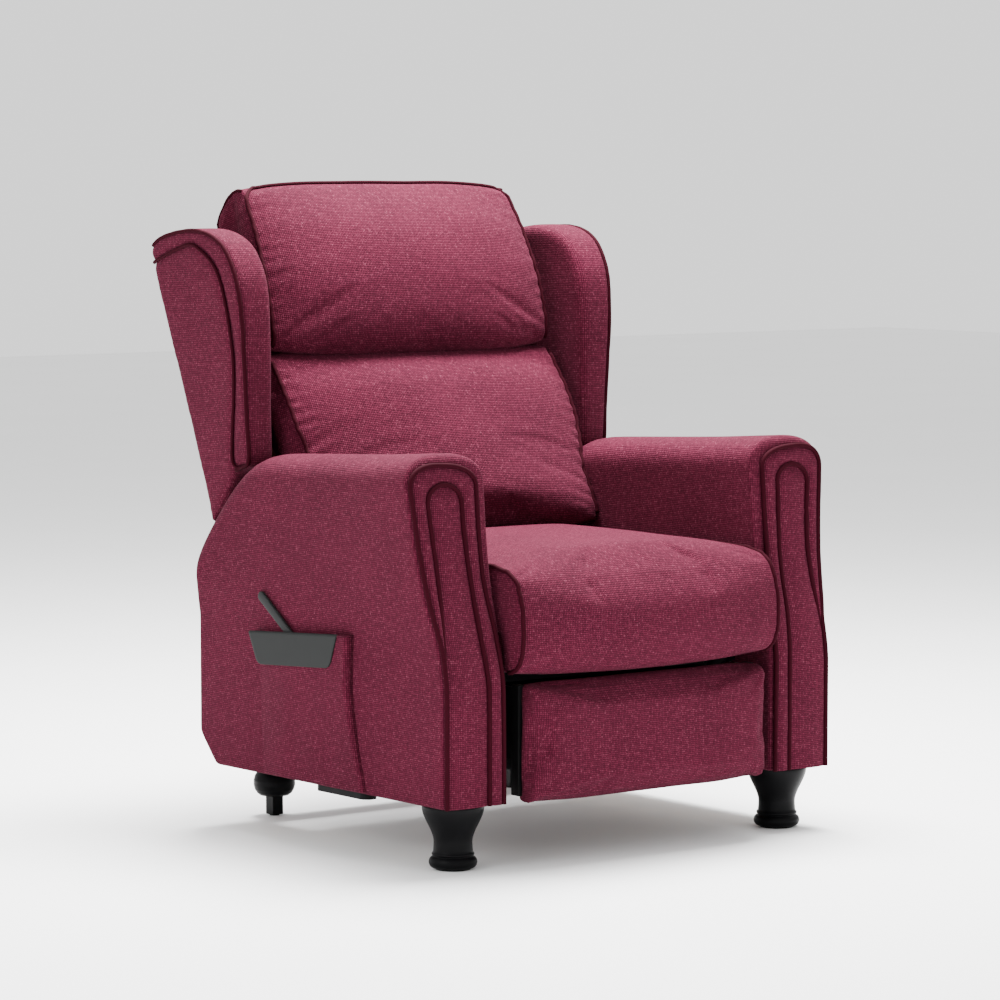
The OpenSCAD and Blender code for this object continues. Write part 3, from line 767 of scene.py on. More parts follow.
def weave_map(obj: bpy.types.Object, tilt: float = 0.0) -> None:
    """Lays the weave on a piece: each face takes it from the plane that it faces most.

    Args:
        obj: The piece.
        tilt: Lean of the piece about x, so that the threads run along its slope.
    """
    mesh = obj.data
    mesh.calc_loop_triangles()
    turn = np.array(Euler((tilt, 0, 0)).to_matrix())
    co = read(mesh.vertices, "co", float, 3) @ turn.T
    facing = np.abs(read(mesh.polygons, "normal", float, 3) @ turn.T).argmax(1)
    facing = np.repeat(facing, read(mesh.polygons, "loop_total", np.int32))
    across = np.array([1, 0, 0])[facing]
    up = np.array([2, 2, 1])[facing]
    at = co[read(mesh.loops, "vertex_index", np.int32)]
    rows = np.arange(len(at))
    uv = np.stack([at[rows, across], at[rows, up]], 1)
    layer = mesh.uv_layers.new(name="weave")
    layer.data.foreach_set("uv", uv.ravel())


def inflate(
    obj: bpy.types.Object, held: Callable[[Vector], float], pressure: float, cap: float, slack: float = 0.0
) -> None:
    """Fills a padded form like a cushion, with Blender's cloth.

    Args:
        obj: The closed form.
        held: How firmly a point is sewn down, from 0 to 1.
        pressure: The filling's pressure.
        cap: The farthest that a point may move, in metres.
        slack: Share by which the cover is cut larger than the form.
    """
    mesh = obj.data
    before = [v.co.copy() for v in mesh.vertices]
    group = obj.vertex_groups.new(name="sewn")
    for vert in mesh.vertices:
        share = held(vert.co)
        if share > 0:
            group.add([vert.index], share, "REPLACE")
    cloth = obj.modifiers.new("cover", "CLOTH")
    for key, value in COVER_CLOTH.items():
        setattr(cloth.settings, key, value)
    cloth.settings.shrink_min = -slack
    cloth.settings.use_pressure = True
    cloth.settings.uniform_pressure_force = pressure
    cloth.settings.vertex_group_mass = group.name
    cloth.settings.effector_weights.gravity = 0
    cloth.point_cache.frame_start, cloth.point_cache.frame_end = 1, FILL_FRAMES
    scene = bpy.context.scene
    for step in range(1, FILL_FRAMES + 1):
        scene.frame_set(step)
    shaped = obj.evaluated_get(bpy.context.evaluated_depsgraph_get()).to_mesh()
    after = [v.co.copy() for v in shaped.vertices]
    obj.modifiers.remove(cloth)
    obj.vertex_groups.clear()
    scene.frame_set(1)
    for vert, a, b in zip(mesh.vertices, before, after):
        move = b - a
        vert.co = a + move * min(1.0, cap / max(move.length, 1e-9))
    log.info("%s filled", obj.name)


@dataclass
class Dressing:
    """Shared by the sub-assemblies: hands finished pieces over to the frame."""

    room: Workroom
    body: ClassVar[str] = "base"

    def hand_over(
        self, obj: bpy.types.Object, slot: str, *nodes: str, body: str | None = None, tilt: float = 0.0
    ) -> bpy.types.Object:
        """Gives a piece its finish, its body and the nodes that it stands for.

        Args:
            obj: The piece.
            slot: Its material slot in the record.
            nodes: The CAD nodes that it replaces.
            body: The body that it rides on, or None for the sub-assembly's own.
            tilt: Lean of its weave.

        Returns:
            The piece.
        """
        obj.data.materials.clear()
        obj.data.materials.append(self.room.by_slot[slot])
        if slot == "fabric":
            weave_map(obj, tilt)
        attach(obj, body or self.body)
        if nodes:
            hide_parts(*nodes)
        log.info("%s: %d faces", obj.name, len(obj.data.polygons))
        return obj

    def trim(self, name: str, path: Sequence[Vector], radius: float, *nodes: str) -> None:
        """Makes a welt and hands it over.

        Args:
            name: The welt's name.
            path: Its middle line, in metres.
            radius: Its radius, in millimetres.
            nodes: The CAD nodes that it replaces.
        """
        self.hand_over(welt(name, path, radius), "piping", *nodes)


# ---- Arms


@dataclass
class Arm(Dressing):
    """A rolled arm: its cover, the padded facing on its front and the welts round that.

    Its section is followed by u from 0 at the inner foot, over the top, to 1 at the outer foot:
    each side takes side_share of it and the rounded top takes top_share.
    """

    side: Side
    height: float = 524.0
    length: float = 656.0
    roll: float = 48.0
    flare: float = 29.0
    inner_face: float = INNER_X - 2
    lean_from: float = 238.0
    facing: float = 8.0
    top_fall: float = 0.051
    rear_drop: float = 171.0
    rear_slope: float = 1.1
    blend: float = 40.0
    chamfer: float = 50.0
    chamfer_slope: float = 1.12
    arch_spring: float = 450.0
    arch_middle: float = 344.5
    arch_radius: float = 31.5
    side_share: ClassVar[float] = 0.36
    top_share: ClassVar[float] = 0.28
    inner_leg: ClassVar[Line] = ((0, 298), (175, 298.5), (255, 304), (320, 306), (400, 311), (450, 313))
    outer_leg: ClassVar[Line] = ((0, 374), (200, 374), (250, 371), (290, 368), (340, 367), (400, 371), (450, 376))
    setback: ClassVar[Line] = (
        (150, 0), (178, 0.5), (210, 5), (255, 15), (300, 27), (340, 36), (400, 44), (440, 47.5), (490, 52), (530, 53)
    )
    inner_roll: ClassVar[Line] = ((0, 7.5), (180, 9), (250, 12.5), (335, 20), (440, 21.5), (480, 21.5))

    @property
    def spring(self) -> float:
        """Height at which the rounded top begins."""
        return self.height - self.roll

    def over(self, u: float) -> float | None:
        """Angle round the rounded top at u, or None on the sides."""
        if self.side_share < u < 1 - self.side_share:
            return math.pi * (u - self.side_share) / self.top_share
        return None

    def up(self, u: float, height: float) -> float:
        """Height on a side at u, where the side ends at a height."""
        return min(u, 1 - u) / self.side_share * height

    def front(self, z: float) -> float:
        """Set-back of the arm's front at a height."""
        return follow(self.setback, z)

    def top(self, y: float) -> float:
        """Height of the arm's top at a depth: a gentle fall, then the rear slope."""
        level = self.height - self.top_fall * y
        slope = self.height - self.rear_drop + (self.length - 2 - y) * self.rear_slope
        share = max(self.blend - abs(level - slope), 0) / self.blend
        return min(level, slope) - share * share * 14 - 10 * ease((y - self.length + 30) / 30)

    def foot(self, y: float) -> float:
        """Height of the arm's underside at a depth: level, with a rear chamfer."""
        return max(0.0, (y - self.length + self.chamfer) * self.chamfer_slope)

    def lean(self, z: float, y: float) -> float:
        """How far the sides lean outwards at a place, from 0 to 1."""
        share = min(max((z - self.lean_from) / (self.spring - self.lean_from), 0.0), 1.0)
        return share**0.8 * (1 - 0.75 * ease(y / 420))

    def rounding(self, u: float) -> float:
        """How softly the cover rolls over to the front, all round the section."""
        if u <= self.side_share:
            return follow(self.inner_roll, u / self.side_share * self.spring)
        t = min((u - self.side_share) / self.top_share, 1.0)
        return 5.5 + 16 * (1 - ease(t)) + 5.5 * math.sin(math.pi * t)

    def lip(self, u: float) -> float:
        """The cover's own rounding at its front edge: small on the inner side, where the facing is boxed."""
        return 1.5 + min(self.rounding(u), 6 + 16 * ease((u - 0.38) / 0.14))

    def section(self, u: float, y: float, inset: float = 0.0) -> tuple[float, float]:
        """A point of the arm's cross-section.

        Args:
            u: 0 at the inner foot, over the top, to 1 at the outer foot.
            y: Depth of the section.
            inset: How far inside the surface it is.

        Returns:
            Distance from the chair's middle and height, in millimetres.
        """
        spring = self.top(y) - self.roll
        foot = self.foot(y)
        a = self.over(u)
        if a is not None:
            inner = self.inner_face + inset
            outer = OUTER_X + self.flare * self.lean(self.spring, y) - inset
            c, s = math.cos(a), math.sin(a)
            x = (inner + outer) / 2 - (outer - inner) / 2 * math.copysign(abs(c) ** 0.8, c)
            return x, spring + (self.roll - inset) * s**0.85
        level = self.up(u, self.spring)
        if level < self.lean_from:
            z = foot + level * (self.lean_from - foot) / self.lean_from
        else:
            z = self.lean_from + (level - self.lean_from) / (self.spring - self.lean_from) * (spring - self.lean_from)
        if u < 0.5:
            return self.inner_face + inset, z
        return OUTER_X + self.flare * self.lean(level, y) - inset, z

    def on_side(self, x: float, y: float, z: float) -> Vector:
        """A point on this arm's side of the chair."""
        return place(x * self.side.value, y, z)

    def cover(self) -> bpy.types.Object:
        """The upholstered body of the arm, closed at both ends."""
        under, near_front, fades = 0.05, 50, 220
        quarter = [math.pi / 2 * k / 5 for k in range(6)]
        stations = [(0.0, 1 - math.sin(a), 1 - math.cos(a)) for a in quarter]
        stations += [(y, 0, 0) for y in (12, 22, 36, *range(50, 571, 40), 596, 604, 609, 632)]
        stations += [(self.length, -1 + math.sin(a), math.cos(a) - 1) for a in reversed(quarter)]

        def where(u: float, v: float) -> Vector:
            """A point of the cover."""
            y, inset, step = stations[round(v * (len(stations) - 1))]
            w = min(max((u - 0.06) / 0.88, 0.0), 1.0)
            radius = self.lip(w) if y < near_front else 12.0
            if 1 < y < near_front:
                y += radius * (1 - y / near_front)
            y += step * radius
            x, z = self.section(w, y, abs(inset) * radius)
            if u < under or u > 1 - under:
                middle = (INNER_X + OUTER_X) / 2
                x = middle + (x - middle) * min(1.0, min(u, 1 - u) / under)
                z = max(z, self.foot(y) + abs(inset) * radius)
            fade = max(0.0, 1 - y / fades)
            return self.on_side(x, y + (self.facing + 0.3 + self.front(z)) * fade, z)

        bm = sheet_of((90, len(stations) - 1), where)
        bmesh.ops.remove_doubles(bm, verts=bm.verts, dist=0.0002)
        rims = [e for e in bm.edges if e.is_boundary]
        bmesh.ops.holes_fill(bm, edges=rims, sides=0)
        obj = new_object(f"{self.side.word}_arm_upholstery", bm)
        finer(obj)
        return obj

    def rim(self, inset: float, ahead: float, steps: int = 120) -> list[Vector]:
        """The line round the arm's front, from the inner foot over the top to the outer foot."""
        line = []
        for k in range(steps + 1):
            x, z = self.section(k / steps, 0, inset + self.rounding(k / steps) - 4.5)
            line.append(self.on_side(x, self.front(z) + ahead, z))
        return line

    def arch(self, u: float) -> tuple[float, float]:
        """The inner welt's line, at the same u as the rim's.

        Args:
            u: 0 at the inner foot, to 1 at the outer foot.

        Returns:
            Distance from the middle of the chair and height.
        """
        a = self.over(u)
        if a is not None:
            return self.arch_middle - self.arch_radius * math.cos(a), self.arch_spring + 28 * math.sin(a)
        z = self.up(u, self.arch_spring)
        return follow(self.inner_leg if u < 0.5 else self.outer_leg, z), z

    def facing_pad(self) -> bpy.types.Object:
        """The padded facing: a band round the arch and a raised centre panel."""

        band, panel, spine_x = 4.8, 5.5, 341

        def where(u: float, v: float) -> Vector:
            """A point of the facing: v 0 at the rim, 0.5 at the arch, 1 at the middle line."""
            rim_x, rim_z = self.section(u, 0, self.rounding(u) + 1.6)
            arch_x, arch_z = self.arch(u)
            if v <= 0.5:
                t = v * 2
                x, z = rim_x + (arch_x - rim_x) * t, rim_z + (arch_z - rim_z) * t
                width = math.hypot(arch_x - rim_x, arch_z - rim_z)
                swell = band * min(1.0, width / 24) * math.sin(math.pi * t) ** 0.8
            else:
                t = v * 2 - 1
                spine = min(arch_z, self.arch_spring - 12)
                x, z = arch_x + (spine_x - arch_x) * t, arch_z + (spine - arch_z) * t
                swell = panel * (1 - (1 - t) ** 2.4)
            return self.on_side(x, self.front(z) + self.facing - 2.6 - swell, max(z, 0.0))

        bm = sheet_of((128, 48), where)
        bmesh.ops.remove_doubles(bm, verts=bm.verts, dist=0.0003)
        obj = new_object(f"{self.side.word}_facing_pad", bm)
        ripple(obj, 0.0008, 22)
        return obj

    def dress(self) -> None:
        """Builds and hands over the arm's pieces."""
        word = self.side.word
        self.hand_over(self.cover(), "fabric", f"{word}_arm_cover")
        self.hand_over(self.facing_pad(), "fabric", f"{word}_arm_facing")
        outer = smooth_path(self.rim(ARM_CORD, self.facing - ARM_CORD), WELT_STEP)
        self.trim(f"{word}_arm_welt", outer, ARM_CORD, f"{word}_arm_piping")
        inner = []
        steps, shown, sinks = 120, 100, 88
        for k in range(shown):
            x, z = self.arch(k / steps)
            sunk = 4.5 * ease((k - sinks) / 11)
            inner.append(self.on_side(x, self.front(z) + self.facing - 5.0 + sunk, z))
        self.trim(f"{word}_arch_welt", smooth_path(inner, WELT_STEP), ARM_CORD)


# ---- Cushions


@dataclass
class Pillow(Dressing):
    """A cushion made from its side profile, carried across the width and crowned in the middle.

    Each point of the profile holds its depth, its height, its share of the crown and half
    the cushion's width there. The cushion's name is that of its CAD node and "_cover".
    """

    node: str
    rides: str
    profile: Sequence[tuple[float, float, float, float]]
    crown: float
    fill: float = 0.8
    shrink: float = 5.0
    voxel: float = 0.006
    tilt: float = 0.0
    fullness: float = 2.6

    def outward(self) -> list[Vector]:
        """The outward direction at each point of the profile."""
        pts = [Vector((p[0], p[1])) for p in self.profile]
        area = sum(a.x * b.y - b.x * a.y for a, b in zip(pts, pts[1:] + pts[:1]))
        turn = math.copysign(1, area)
        along = [b - a for a, b in zip(pts[-1:] + pts[:-1], pts[1:] + pts[:1])]
        return [Vector((d.y, -d.x)).normalized() * turn for d in along]

    def ring(self, t: float, shrink: float = 0.0) -> list[Vector]:
        """The cushion's section at a share of the half width, -1 to 1.

        Args:
            t: The share.
            shrink: How far the crowned part lies inside the finished surface, in millimetres.

        Returns:
            Points in the frame.
        """
        points = []
        for (y, z, share, half), out in zip(self.profile, self.outward()):
            drawn = shrink * min(1.0, share * 2)
            off = self.crown * (1 - abs(t) ** self.fullness) * share - drawn
            points.append(place((half - drawn * 0.6) * t, y + out.x * off, z + out.y * off))
        return points

    def form(self) -> bpy.types.Object:
        """The closed form, a little smaller than the finished cushion, in even squares."""
        slices = 24
        shares = [-1 + 2 * k / slices for k in range(slices + 1)]
        bm = bmesh.new()
        closed_skin(bm, [self.ring(math.copysign(1 - (1 - abs(t)) ** 1.25, t), self.shrink) for t in shares])
        obj = new_object(f"{self.node}_cover", bm)
        remeshed(obj, self.voxel)
        return obj

    def seams(self, first: int, last: int) -> list[list[Vector]]:
        """The sewn lines at both ends of the cushion, along part of the profile."""
        return [smooth_path(self.ring(t)[first : last + 1], SEAM_STEP) for t in (-1, 1)]

    def crossing(self, index: int) -> list[Vector]:
        """The line across the cushion at one point of the profile."""
        return smooth_path([self.ring(-1 + k / 10)[index] for k in range(21)], SEAM_STEP)

    def finish(self, obj: bpy.types.Object) -> None:
        """Hands the cushion over."""
        self.hand_over(obj, "fabric", self.node, body=self.rides, tilt=self.tilt)


def near_lines(lines: Iterable[Sequence[Vector]], reach: float) -> Callable[[Vector], float]:
    """How firmly a point is held by sewn lines nearby.

    Args:
        lines: The sewn lines.
        reach: The distance over which they hold.

    Returns:
        A function of the point, from 0 to 1.
    """
    tree = tree_of([p for line in lines for p in line])
    return lambda co: max(0.0, 1 - tree.find(co)[2] / reach)


@dataclass
class Seat(Dressing):
    """The seat cushion with its end welts."""

    body: ClassVar[str] = "seat"

    def dress(self) -> None:
        """Builds the cushion and its welts."""
        under = [(y, 252.6, 0) for y in (31, 110, 200, 300, 400, 472)]
        over = [(y, 359, 1) for y in (330, 280, 230, 180, 132)]
        line = [(29.8, 191, 0), (29.8, 225, 0), *under, (481, 296, 0), (480, 326, 0.2), (462, 350, 0.4),
                (430, 356, 0.8), (380, 358, 1), *over, (92, 358.5, 1), (57, 357, 1), (33, 354, 1), (10, 348, 1),
                (-8, 334, 1), (-19, 310, 1), (-25, 284, 1), (-27, 254, 1), (-25, 228, 1), (-17, 206, 1.3),
                (-3, 192.5, 1.4), (14, 188, 1.0)]
        profile = [(y, z, share, 257.5) for y, z, share in line]
        pillow = Pillow(self.room, "seat_cushion", self.body, profile, crown=10.0, fill=0.85)
        obj = pillow.form()
        ends = pillow.seams(10, 29)
        sewn = near_lines(ends, 0.016)
        lip, board = ARM_FRONT + 13 * MM, LEG_TOP + 257 * MM
        inflate(obj, lambda co: 1.0 if co.y > lip and co.z < board else sewn(co), 3.0, 0.010)
        crease(obj, ends, 0.016, 0.0035)
        ripple(obj, 0.0008, 14)
        finer(obj)
        surface = surface_of(obj)
        pillow.finish(obj)
        for side, line in zip(Side, ends):
            self.trim(f"{side.word}_seat_welt", settle(line, surface, WELT_LIFT), CORD)
            middle = place(251.2 * side.value, 254, 223.5)
            self.hand_over(covered_box(f"{side.word}_seat_border", (1.8, 446, 59), middle, 0.5), "fabric")


@dataclass
class BackCushions(Dressing):
    """The lumbar cushion and the head pillow over it, with the welts that frame both."""

    body: ClassVar[str] = "back"
    pad: float = -72.3

    def lumbar(self) -> Pillow:
        """The lumbar cushion's form."""
        rear = [(*on_back(self.pad, z), 0) for z in (-22, 40, 100, 160, 220, 268)]
        front = [(622, 650, 0), (598, 650, 0.05), (582, 640, 0.25), (568, 621, 0.6), (554, 602, 0.95), (541, 583, 1),
                 (529, 563, 1), (517, 543, 1), (507, 523, 1), (492, 497, 1), (478, 473, 1), (464, 448, 1),
                 (450, 425, 1), (438, 405, 0.9), (426, 380, 0.6), (425, 365, 0.3), (452, 360, 0), (500, 363, 0)]
        half = ((365, 264), (440, 266), (471, 271), (490, 280), (545, 289), (600, 289), (655, 286))
        profile = [(y, z, share, follow(half, z)) for y, z, share in rear + front]
        return Pillow(self.room, "lumbar_cushion", self.body, profile, crown=42.0, fill=0.75, tilt=RAKE)

    def head(self) -> Pillow:
        """The head pillow's form."""
        rear = [(*on_back(self.pad, z), 0) for z in (281, 330, 390, 456)]
        top = [(748, 827, 0), (766, 838, 0.1), (770, 859, 0.2), (756, 882, 0.4)]
        front = [(737, 900, 0.45), (716, 911, 0.4), (694, 913, 0.35), (678, 902, 0.4), (666, 882, 0.55),
                 (655, 864, 0.75), (643, 843, 0.95), (633, 823, 1), (623, 803, 1), (613, 783, 1), (606, 763, 1),
                 (600, 743, 1), (595, 723, 1), (590, 703, 1), (585, 684, 1), (585, 668, 0.95), (590, 656, 0.75),
                 (603, 650, 0.4), (625, 652, 0)]
        half = ((655, 282), (720, 283), (790, 280), (852, 277), (880, 274), (905, 270))
        profile = [(y, z, share, follow(half, z) - 8) for y, z, share in rear + top]
        profile += [(y, z, share, follow(half, z)) for y, z, share in front]
        return Pillow(self.room, "head_pillow", self.body, profile, crown=34.0, tilt=RAKE, fullness=3.8)

    def gather(self, obj: bpy.types.Object, lines: Iterable[Sequence[Vector]], deep: float) -> None:
        """Draws small pleats into the cloth beside a sewn line.

        Args:
            obj: The cushion.
            lines: The sewn lines.
            deep: Depth of a pleat at the line, in metres.
        """
        spacing, reach = 0.025, 0.065
        for line in lines:
            tree = tree_of(line)
            run = list(accumulate(((b - a).length for a, b in zip(line, line[1:])), initial=0.0))

            def rise(co: Vector) -> float:
                """How far the pleats move a point."""
                _, i, far = tree.find(co)
                if far >= reach:
                    return 0.0
                wander = noise.noise(co * 16) * 2.2
                strength = 0.5 + 0.5 * noise.noise(Vector((run[i] * 9, 3.0, 7.0)))
                fold = abs(math.sin(math.pi * run[i] / spacing + wander)) ** 0.6
                return -deep * strength * (1 - fold) * (1 - far / reach) ** 1.5 * min(1.0, far / 0.004)

            push(obj, rise)

    def apron(self) -> None:
        """The cloth that hangs from the lumbar cushion's foot, in front of the back's frame."""

        def where(u: float, v: float) -> Vector:
            """A point of the cloth: u across, v from its top to its hem."""
            slack = 5 * math.sin(math.pi * v) * (1 - (2 * u - 1) ** 4)
            return place(-254 + 508 * u, 508 + 16 * v - slack, 392 - 92 * v)

        bm = sheet_of((40, 12), where)
        bmesh.ops.solidify(bm, geom=[*bm.verts, *bm.edges, *bm.faces], thickness=2.0 * MM)
        cloth = self.hand_over(new_object("back_apron", bm), "fabric")

    def dress(self) -> None:
        """Builds both cushions and their welts."""
        lumbar, head = self.lumbar(), self.head()
        lines = []
        self.apron()
        # Points of each profile: the first and last on the end seams, the fold, and a seam across.
        for pillow, first, last, fold, seam, deep in ((lumbar, 8, 20, 8, None, 0.009), (head, 11, 24, 25, 10, 0.006)):
            obj = pillow.form()
            ends = pillow.seams(first, last)
            sewn = ends if seam is None else [*ends, pillow.crossing(seam)]
            inflate(obj, near_lines([*sewn, pillow.crossing(fold)], 0.025), 4.0, 0.010, 0.004)
            crease(obj, sewn, 0.018, 0.004)
            self.gather(obj, ends, deep)
            ripple(obj, 0.0012, 11)
            finer(obj)
            surface = surface_of(obj)
            pillow.finish(obj)
            lines += [settle(line, surface, WELT_LIFT) for line in sewn]
        low_left, low_right, left, right, across = lines
        for side, low in zip(Side, (low_left, low_right)):
            self.trim(f"{side.word}_lumbar_welt", low, CORD)
        corner = 5
        path = left[::-1] + across[corner:-corner] + right
        self.trim("head_pillow_welt", smooth_path(path, WELT_STEP), CORD)
        surface = surface_of(bpy.data.objects["head_pillow_cover"])
        for side in Side:
            seam = settle(smooth_path(head.ring(side.value)[5:11], SEAM_STEP), surface, 0.0004)
            self.trim(f"{side.word}_head_seam", seam, 2.8)


@dataclass
class Wing(Dressing):
    """A wing of the back, with a padded front, an edge welt and a sewn border on its outer face."""

    side: Side
    thick: float = 56.0
    spread: float = 0.055
    spread_from: float = 560.0
    edge_foot: ClassVar[tuple[float, float, float]] = (366, 572, 464)
    edge_head: ClassVar[tuple[float, float, float]] = (380, 790, 825)
    body: ClassVar[str] = "back"

    def outline(self) -> list[tuple[float, float]]:
        """The wing's outline in depth and height, rounded."""
        rear = [on_back(-1.5, z) for z in (3, 3, 240, 440)]
        line = [(535, 488), (540, 476), (562, 470), (582, 464), (606, 426), *rear, on_back(-6, 462), on_back(-28, 470),
                (735, 842), (675, 850), (625, 846), (584, 829), (560, 800), (543, 763), (535, 700), (536, 620),
                (537, 540)]
        for _ in range(2):
            line = [
                (a[0] * w + b[0] * (1 - w), a[1] * w + b[1] * (1 - w))
                for a, b in zip(line, line[1:] + line[:1])
                for w in (0.75, 0.25)
            ]
        return line

    def inset(self, line: Sequence[tuple[float, float]], by: float) -> list[tuple[float, float]]:
        """Moves an outline's points inwards by a distance."""
        moved = []
        for i, p in enumerate(line):
            a, b = Vector(line[i - 1]), Vector(line[(i + 1) % len(line)])
            along = (b - a).normalized()
            moved.append((p[0] - along.y * by, p[1] + along.x * by))
        return moved

    def across(self, share: float, z: float) -> float:
        """Distance from the middle of the chair at a share of the thickness and a height."""
        return WING_X - self.thick + self.thick * share + self.spread * (z - self.spread_from) * share

    def at(self, share: float, y: float, z: float, sunk: float = 0.0) -> Vector:
        """The point at a share of the thickness, a depth and a height, sunk inwards."""
        return place(self.side.value * (self.across(share, z) - sunk), y, z)

    def slab(self) -> bpy.types.Object:
        """The padded slab, in even squares."""
        line = self.outline()
        steps = [(0.02, 15), (0.05, 8), (0.12, 3.2), (0.22, 0.6), (0.36, 0), (0.66, 0), (0.84, 0.3), (0.93, 1.6),
                 (0.98, 4), (1.0, 8)]
        bm = bmesh.new()
        closed_skin(bm, [[self.at(share, y, z) for y, z in self.inset(line, by + 0.5)] for share, by in steps])
        obj = new_object(f"{self.side.word}_wing_cover", bm)
        remeshed(obj, 0.005, 3)
        return obj

    def border(self) -> list[Vector]:
        """The sewn line on the outer face, inside the front edge and the top."""
        points = [(556, 474), (571, 473), (582, 481), (583, 500), (577, 545), (571, 581), (567, 640), (572, 690),
                  (584, 744), (598, 778), (616, 798), (645, 815), (673, 823), (720, 812), (789, 790)]
        return [self.at(1.0, y, z, 1.0) for y, z in points]

    def edge(self) -> list[Vector]:
        """The welt's line along the outer front edge and over the top."""
        line = self.inset(self.outline(), 2.2)
        return [self.at(0.985, y, z) for y, z in line]

    def dress(self) -> None:
        """Builds the wing and its welts."""
        word = self.side.word
        obj = self.slab()
        surface = surface_of(obj)
        border = settle(smooth_path(self.border(), SEAM_STEP), surface, -0.0002)
        loop = self.edge()
        low, high = (
            min(range(len(loop)), key=lambda i: (loop[i] - place(self.side.value * x, y, z)).length)
            for x, y, z in (self.edge_foot, self.edge_head)
        )
        edge = settle(smooth_path(loop[high:] + loop[: low + 1], WELT_STEP), surface, 0.0008)
        crease(obj, [border], 0.016, 0.005)
        crease(obj, [edge], 0.010, 0.0015)
        ripple(obj, 0.0010, 12)
        self.hand_over(obj, "fabric", f"{word}_wing")
        self.trim(f"{word}_wing_edge_welt", edge, CORD)
        self.trim(f"{word}_wing_border_welt", border, FINE_CORD)


@dataclass
class OutsideBack(Dressing):
    """The panel across the rear of the back, with a welt along its edge."""

    thick: float = 12.0
    body: ClassVar[str] = "back"

    def dress(self) -> None:
        """Builds the panel."""
        wide, narrow = WING_X - 42, INNER_X - 8
        half = [(narrow, -225), (narrow, 0), (wide, 0), (wide, 440), (wide, 466)]
        line = half + [(-x, z) for x, z in reversed(half)]
        rings = []
        for depth, by in ((-self.thick, 0), (-6, 0), (-2.2, 1.2), (-0.4, 4.5)):
            ring = []
            for x, z in line:
                inward = 0 if z == 0 else math.copysign(by, -z)
                ring.append(place(x - math.copysign(by, x), *on_back(depth, z + inward)))
            rings.append(ring)
        bm = bmesh.new()
        closed_skin(bm, rings)
        obj = new_object("outside_back_panel", bm)
        remeshed(obj, 0.005, 2)
        ripple(obj, 0.0008, 9)
        self.hand_over(obj, "fabric", "outside_back", tilt=RAKE)
        above_arms = line[2:8]
        path = [place(x - math.copysign(3, x), *on_back(-4, z - (3 if z > 400 else 0))) for x, z in above_arms]
        self.trim("outside_back_welt", settle(smooth_path(path, 0.006), surface_of(obj), 0.0006), 3.2)
        cap = covered_box("back_cap", (2 * WING_X - 114, 66, 12), place(0, *on_back(-40, 463)), 3.5, -RAKE)
        self.hand_over(cap, "fabric", tilt=RAKE)


# ---- Footrest, pocket, feet


@dataclass
class Footrest(Dressing):
    """The padded footrest front."""

    half: ClassVar[Line] = ((-5, 235), (30, 233), (90, 230), (140, 231), (178, 233))
    body: ClassVar[str] = "footrest"

    def dress(self) -> None:
        """Builds the pad."""
        front = [(-23, z, 1) for z in (130, 110, 90, 70, 45)]
        line = [(30.6, 169, 0), (29, 173, 0), (20, 175, 0), (2, 176, 0.1), (-9, 174.5, 0.4), (-16, 169, 0.7),
                (-20, 160, 1), (-22, 147, 1), *front, (-22, 27, 1), (-20, 13, 1), (-16, 3, 0.7), (-9, -3, 0.4),
                (2, -4.4, 0.1), (20, -3.6, 0), (29, -2, 0), (30.6, 3, 0), (30.6, 60, 0), (30.6, 120, 0)]
        profile = [(y, z, share, follow(self.half, z) - 0.4 * max(y, 0)) for y, z, share in line]
        pillow = Pillow(
            self.room, "footrest_pad", self.body, profile, crown=7.0, fill=0.7, shrink=2.0, voxel=0.005, fullness=6.0
        )
        obj = pillow.form()
        rear = ARM_FRONT + 16.0 * MM
        inflate(obj, lambda co: 1.0 if co.y > rear else 0.0, 3.0, 0.006)
        ripple(obj, 0.0007, 14)
        pillow.finish(obj)
        # Black strips over the board's sides beside the pad hide its timber; their black is painted shade, standing in
        # for the shade beside the pad.
        for side in Side:
            middle = place(227.2 * side.value, 24.6, 90.3)
            self.hand_over(covered_box(f"{side.word}_board_edge", (13, 18.4, 167), middle, 0.8), "black_plastic")


def mouth(height: float, y: float) -> float:
    """Height at a depth of a line along the pocket's mouth, which falls towards the rear."""
    return height - (y - MOUTH_FROM) * MOUTH_FALL


@dataclass
class Pocket(Dressing):
    """The cloth pocket on the left arm, behind the lever's guard."""

    stand: float = 14.6
    foot: float = 4
    top: float = 238
    rear: float = 505.0
    front: ClassVar[Line] = ((4, 201), (60, 216), (110, 227), (157, 234), (200, 233), (240, 231))

    def wall(self, u: float, v: float) -> Vector:
        """A point of the wall: u from front to rear, v from the foot to the mouth."""
        y = self.rear - (self.rear - 201) * (1 - u)
        # The mouth's height and the front edge depend on each other: three rounds settle them.
        for _ in range(3):
            z = self.foot + (mouth(self.top, y) - self.foot) * v
            a = follow(self.front, z)
            y = a + (self.rear - a) * u
        fold = min(1.0, (y - a) / 9)
        rise = math.sqrt(1 - (1 - fold) ** 2) * ease((self.rear - y) / 110)
        x = OUTER_X - 2.6 + 3.5 * ease((self.rear - y) / 70)
        x += (self.stand - 1.6) * (0.45 + 0.55 * ease(v * 1.2)) * rise
        x += 1.1 * noise.noise(Vector((y * 0.02, z * 0.02, 2.0))) * rise
        return place(-x, y, z)

    def dress(self) -> None:
        """Builds the pocket's wall and its front seam."""
        steps = 90
        wall = new_object("side_pocket_wall", sheet_of((steps, 44), self.wall))
        thicken(wall, 2.4)
        apply_modifiers(wall)
        self.hand_over(wall, "fabric", "side_pocket")
        hem = [self.wall(k / steps, 1.0) + Vector((0.0001, 0, 0.0002)) for k in range(steps + 1)]
        seam = self.hand_over(welt("side_pocket_hem", smooth_path(hem), 1.5), "fabric")


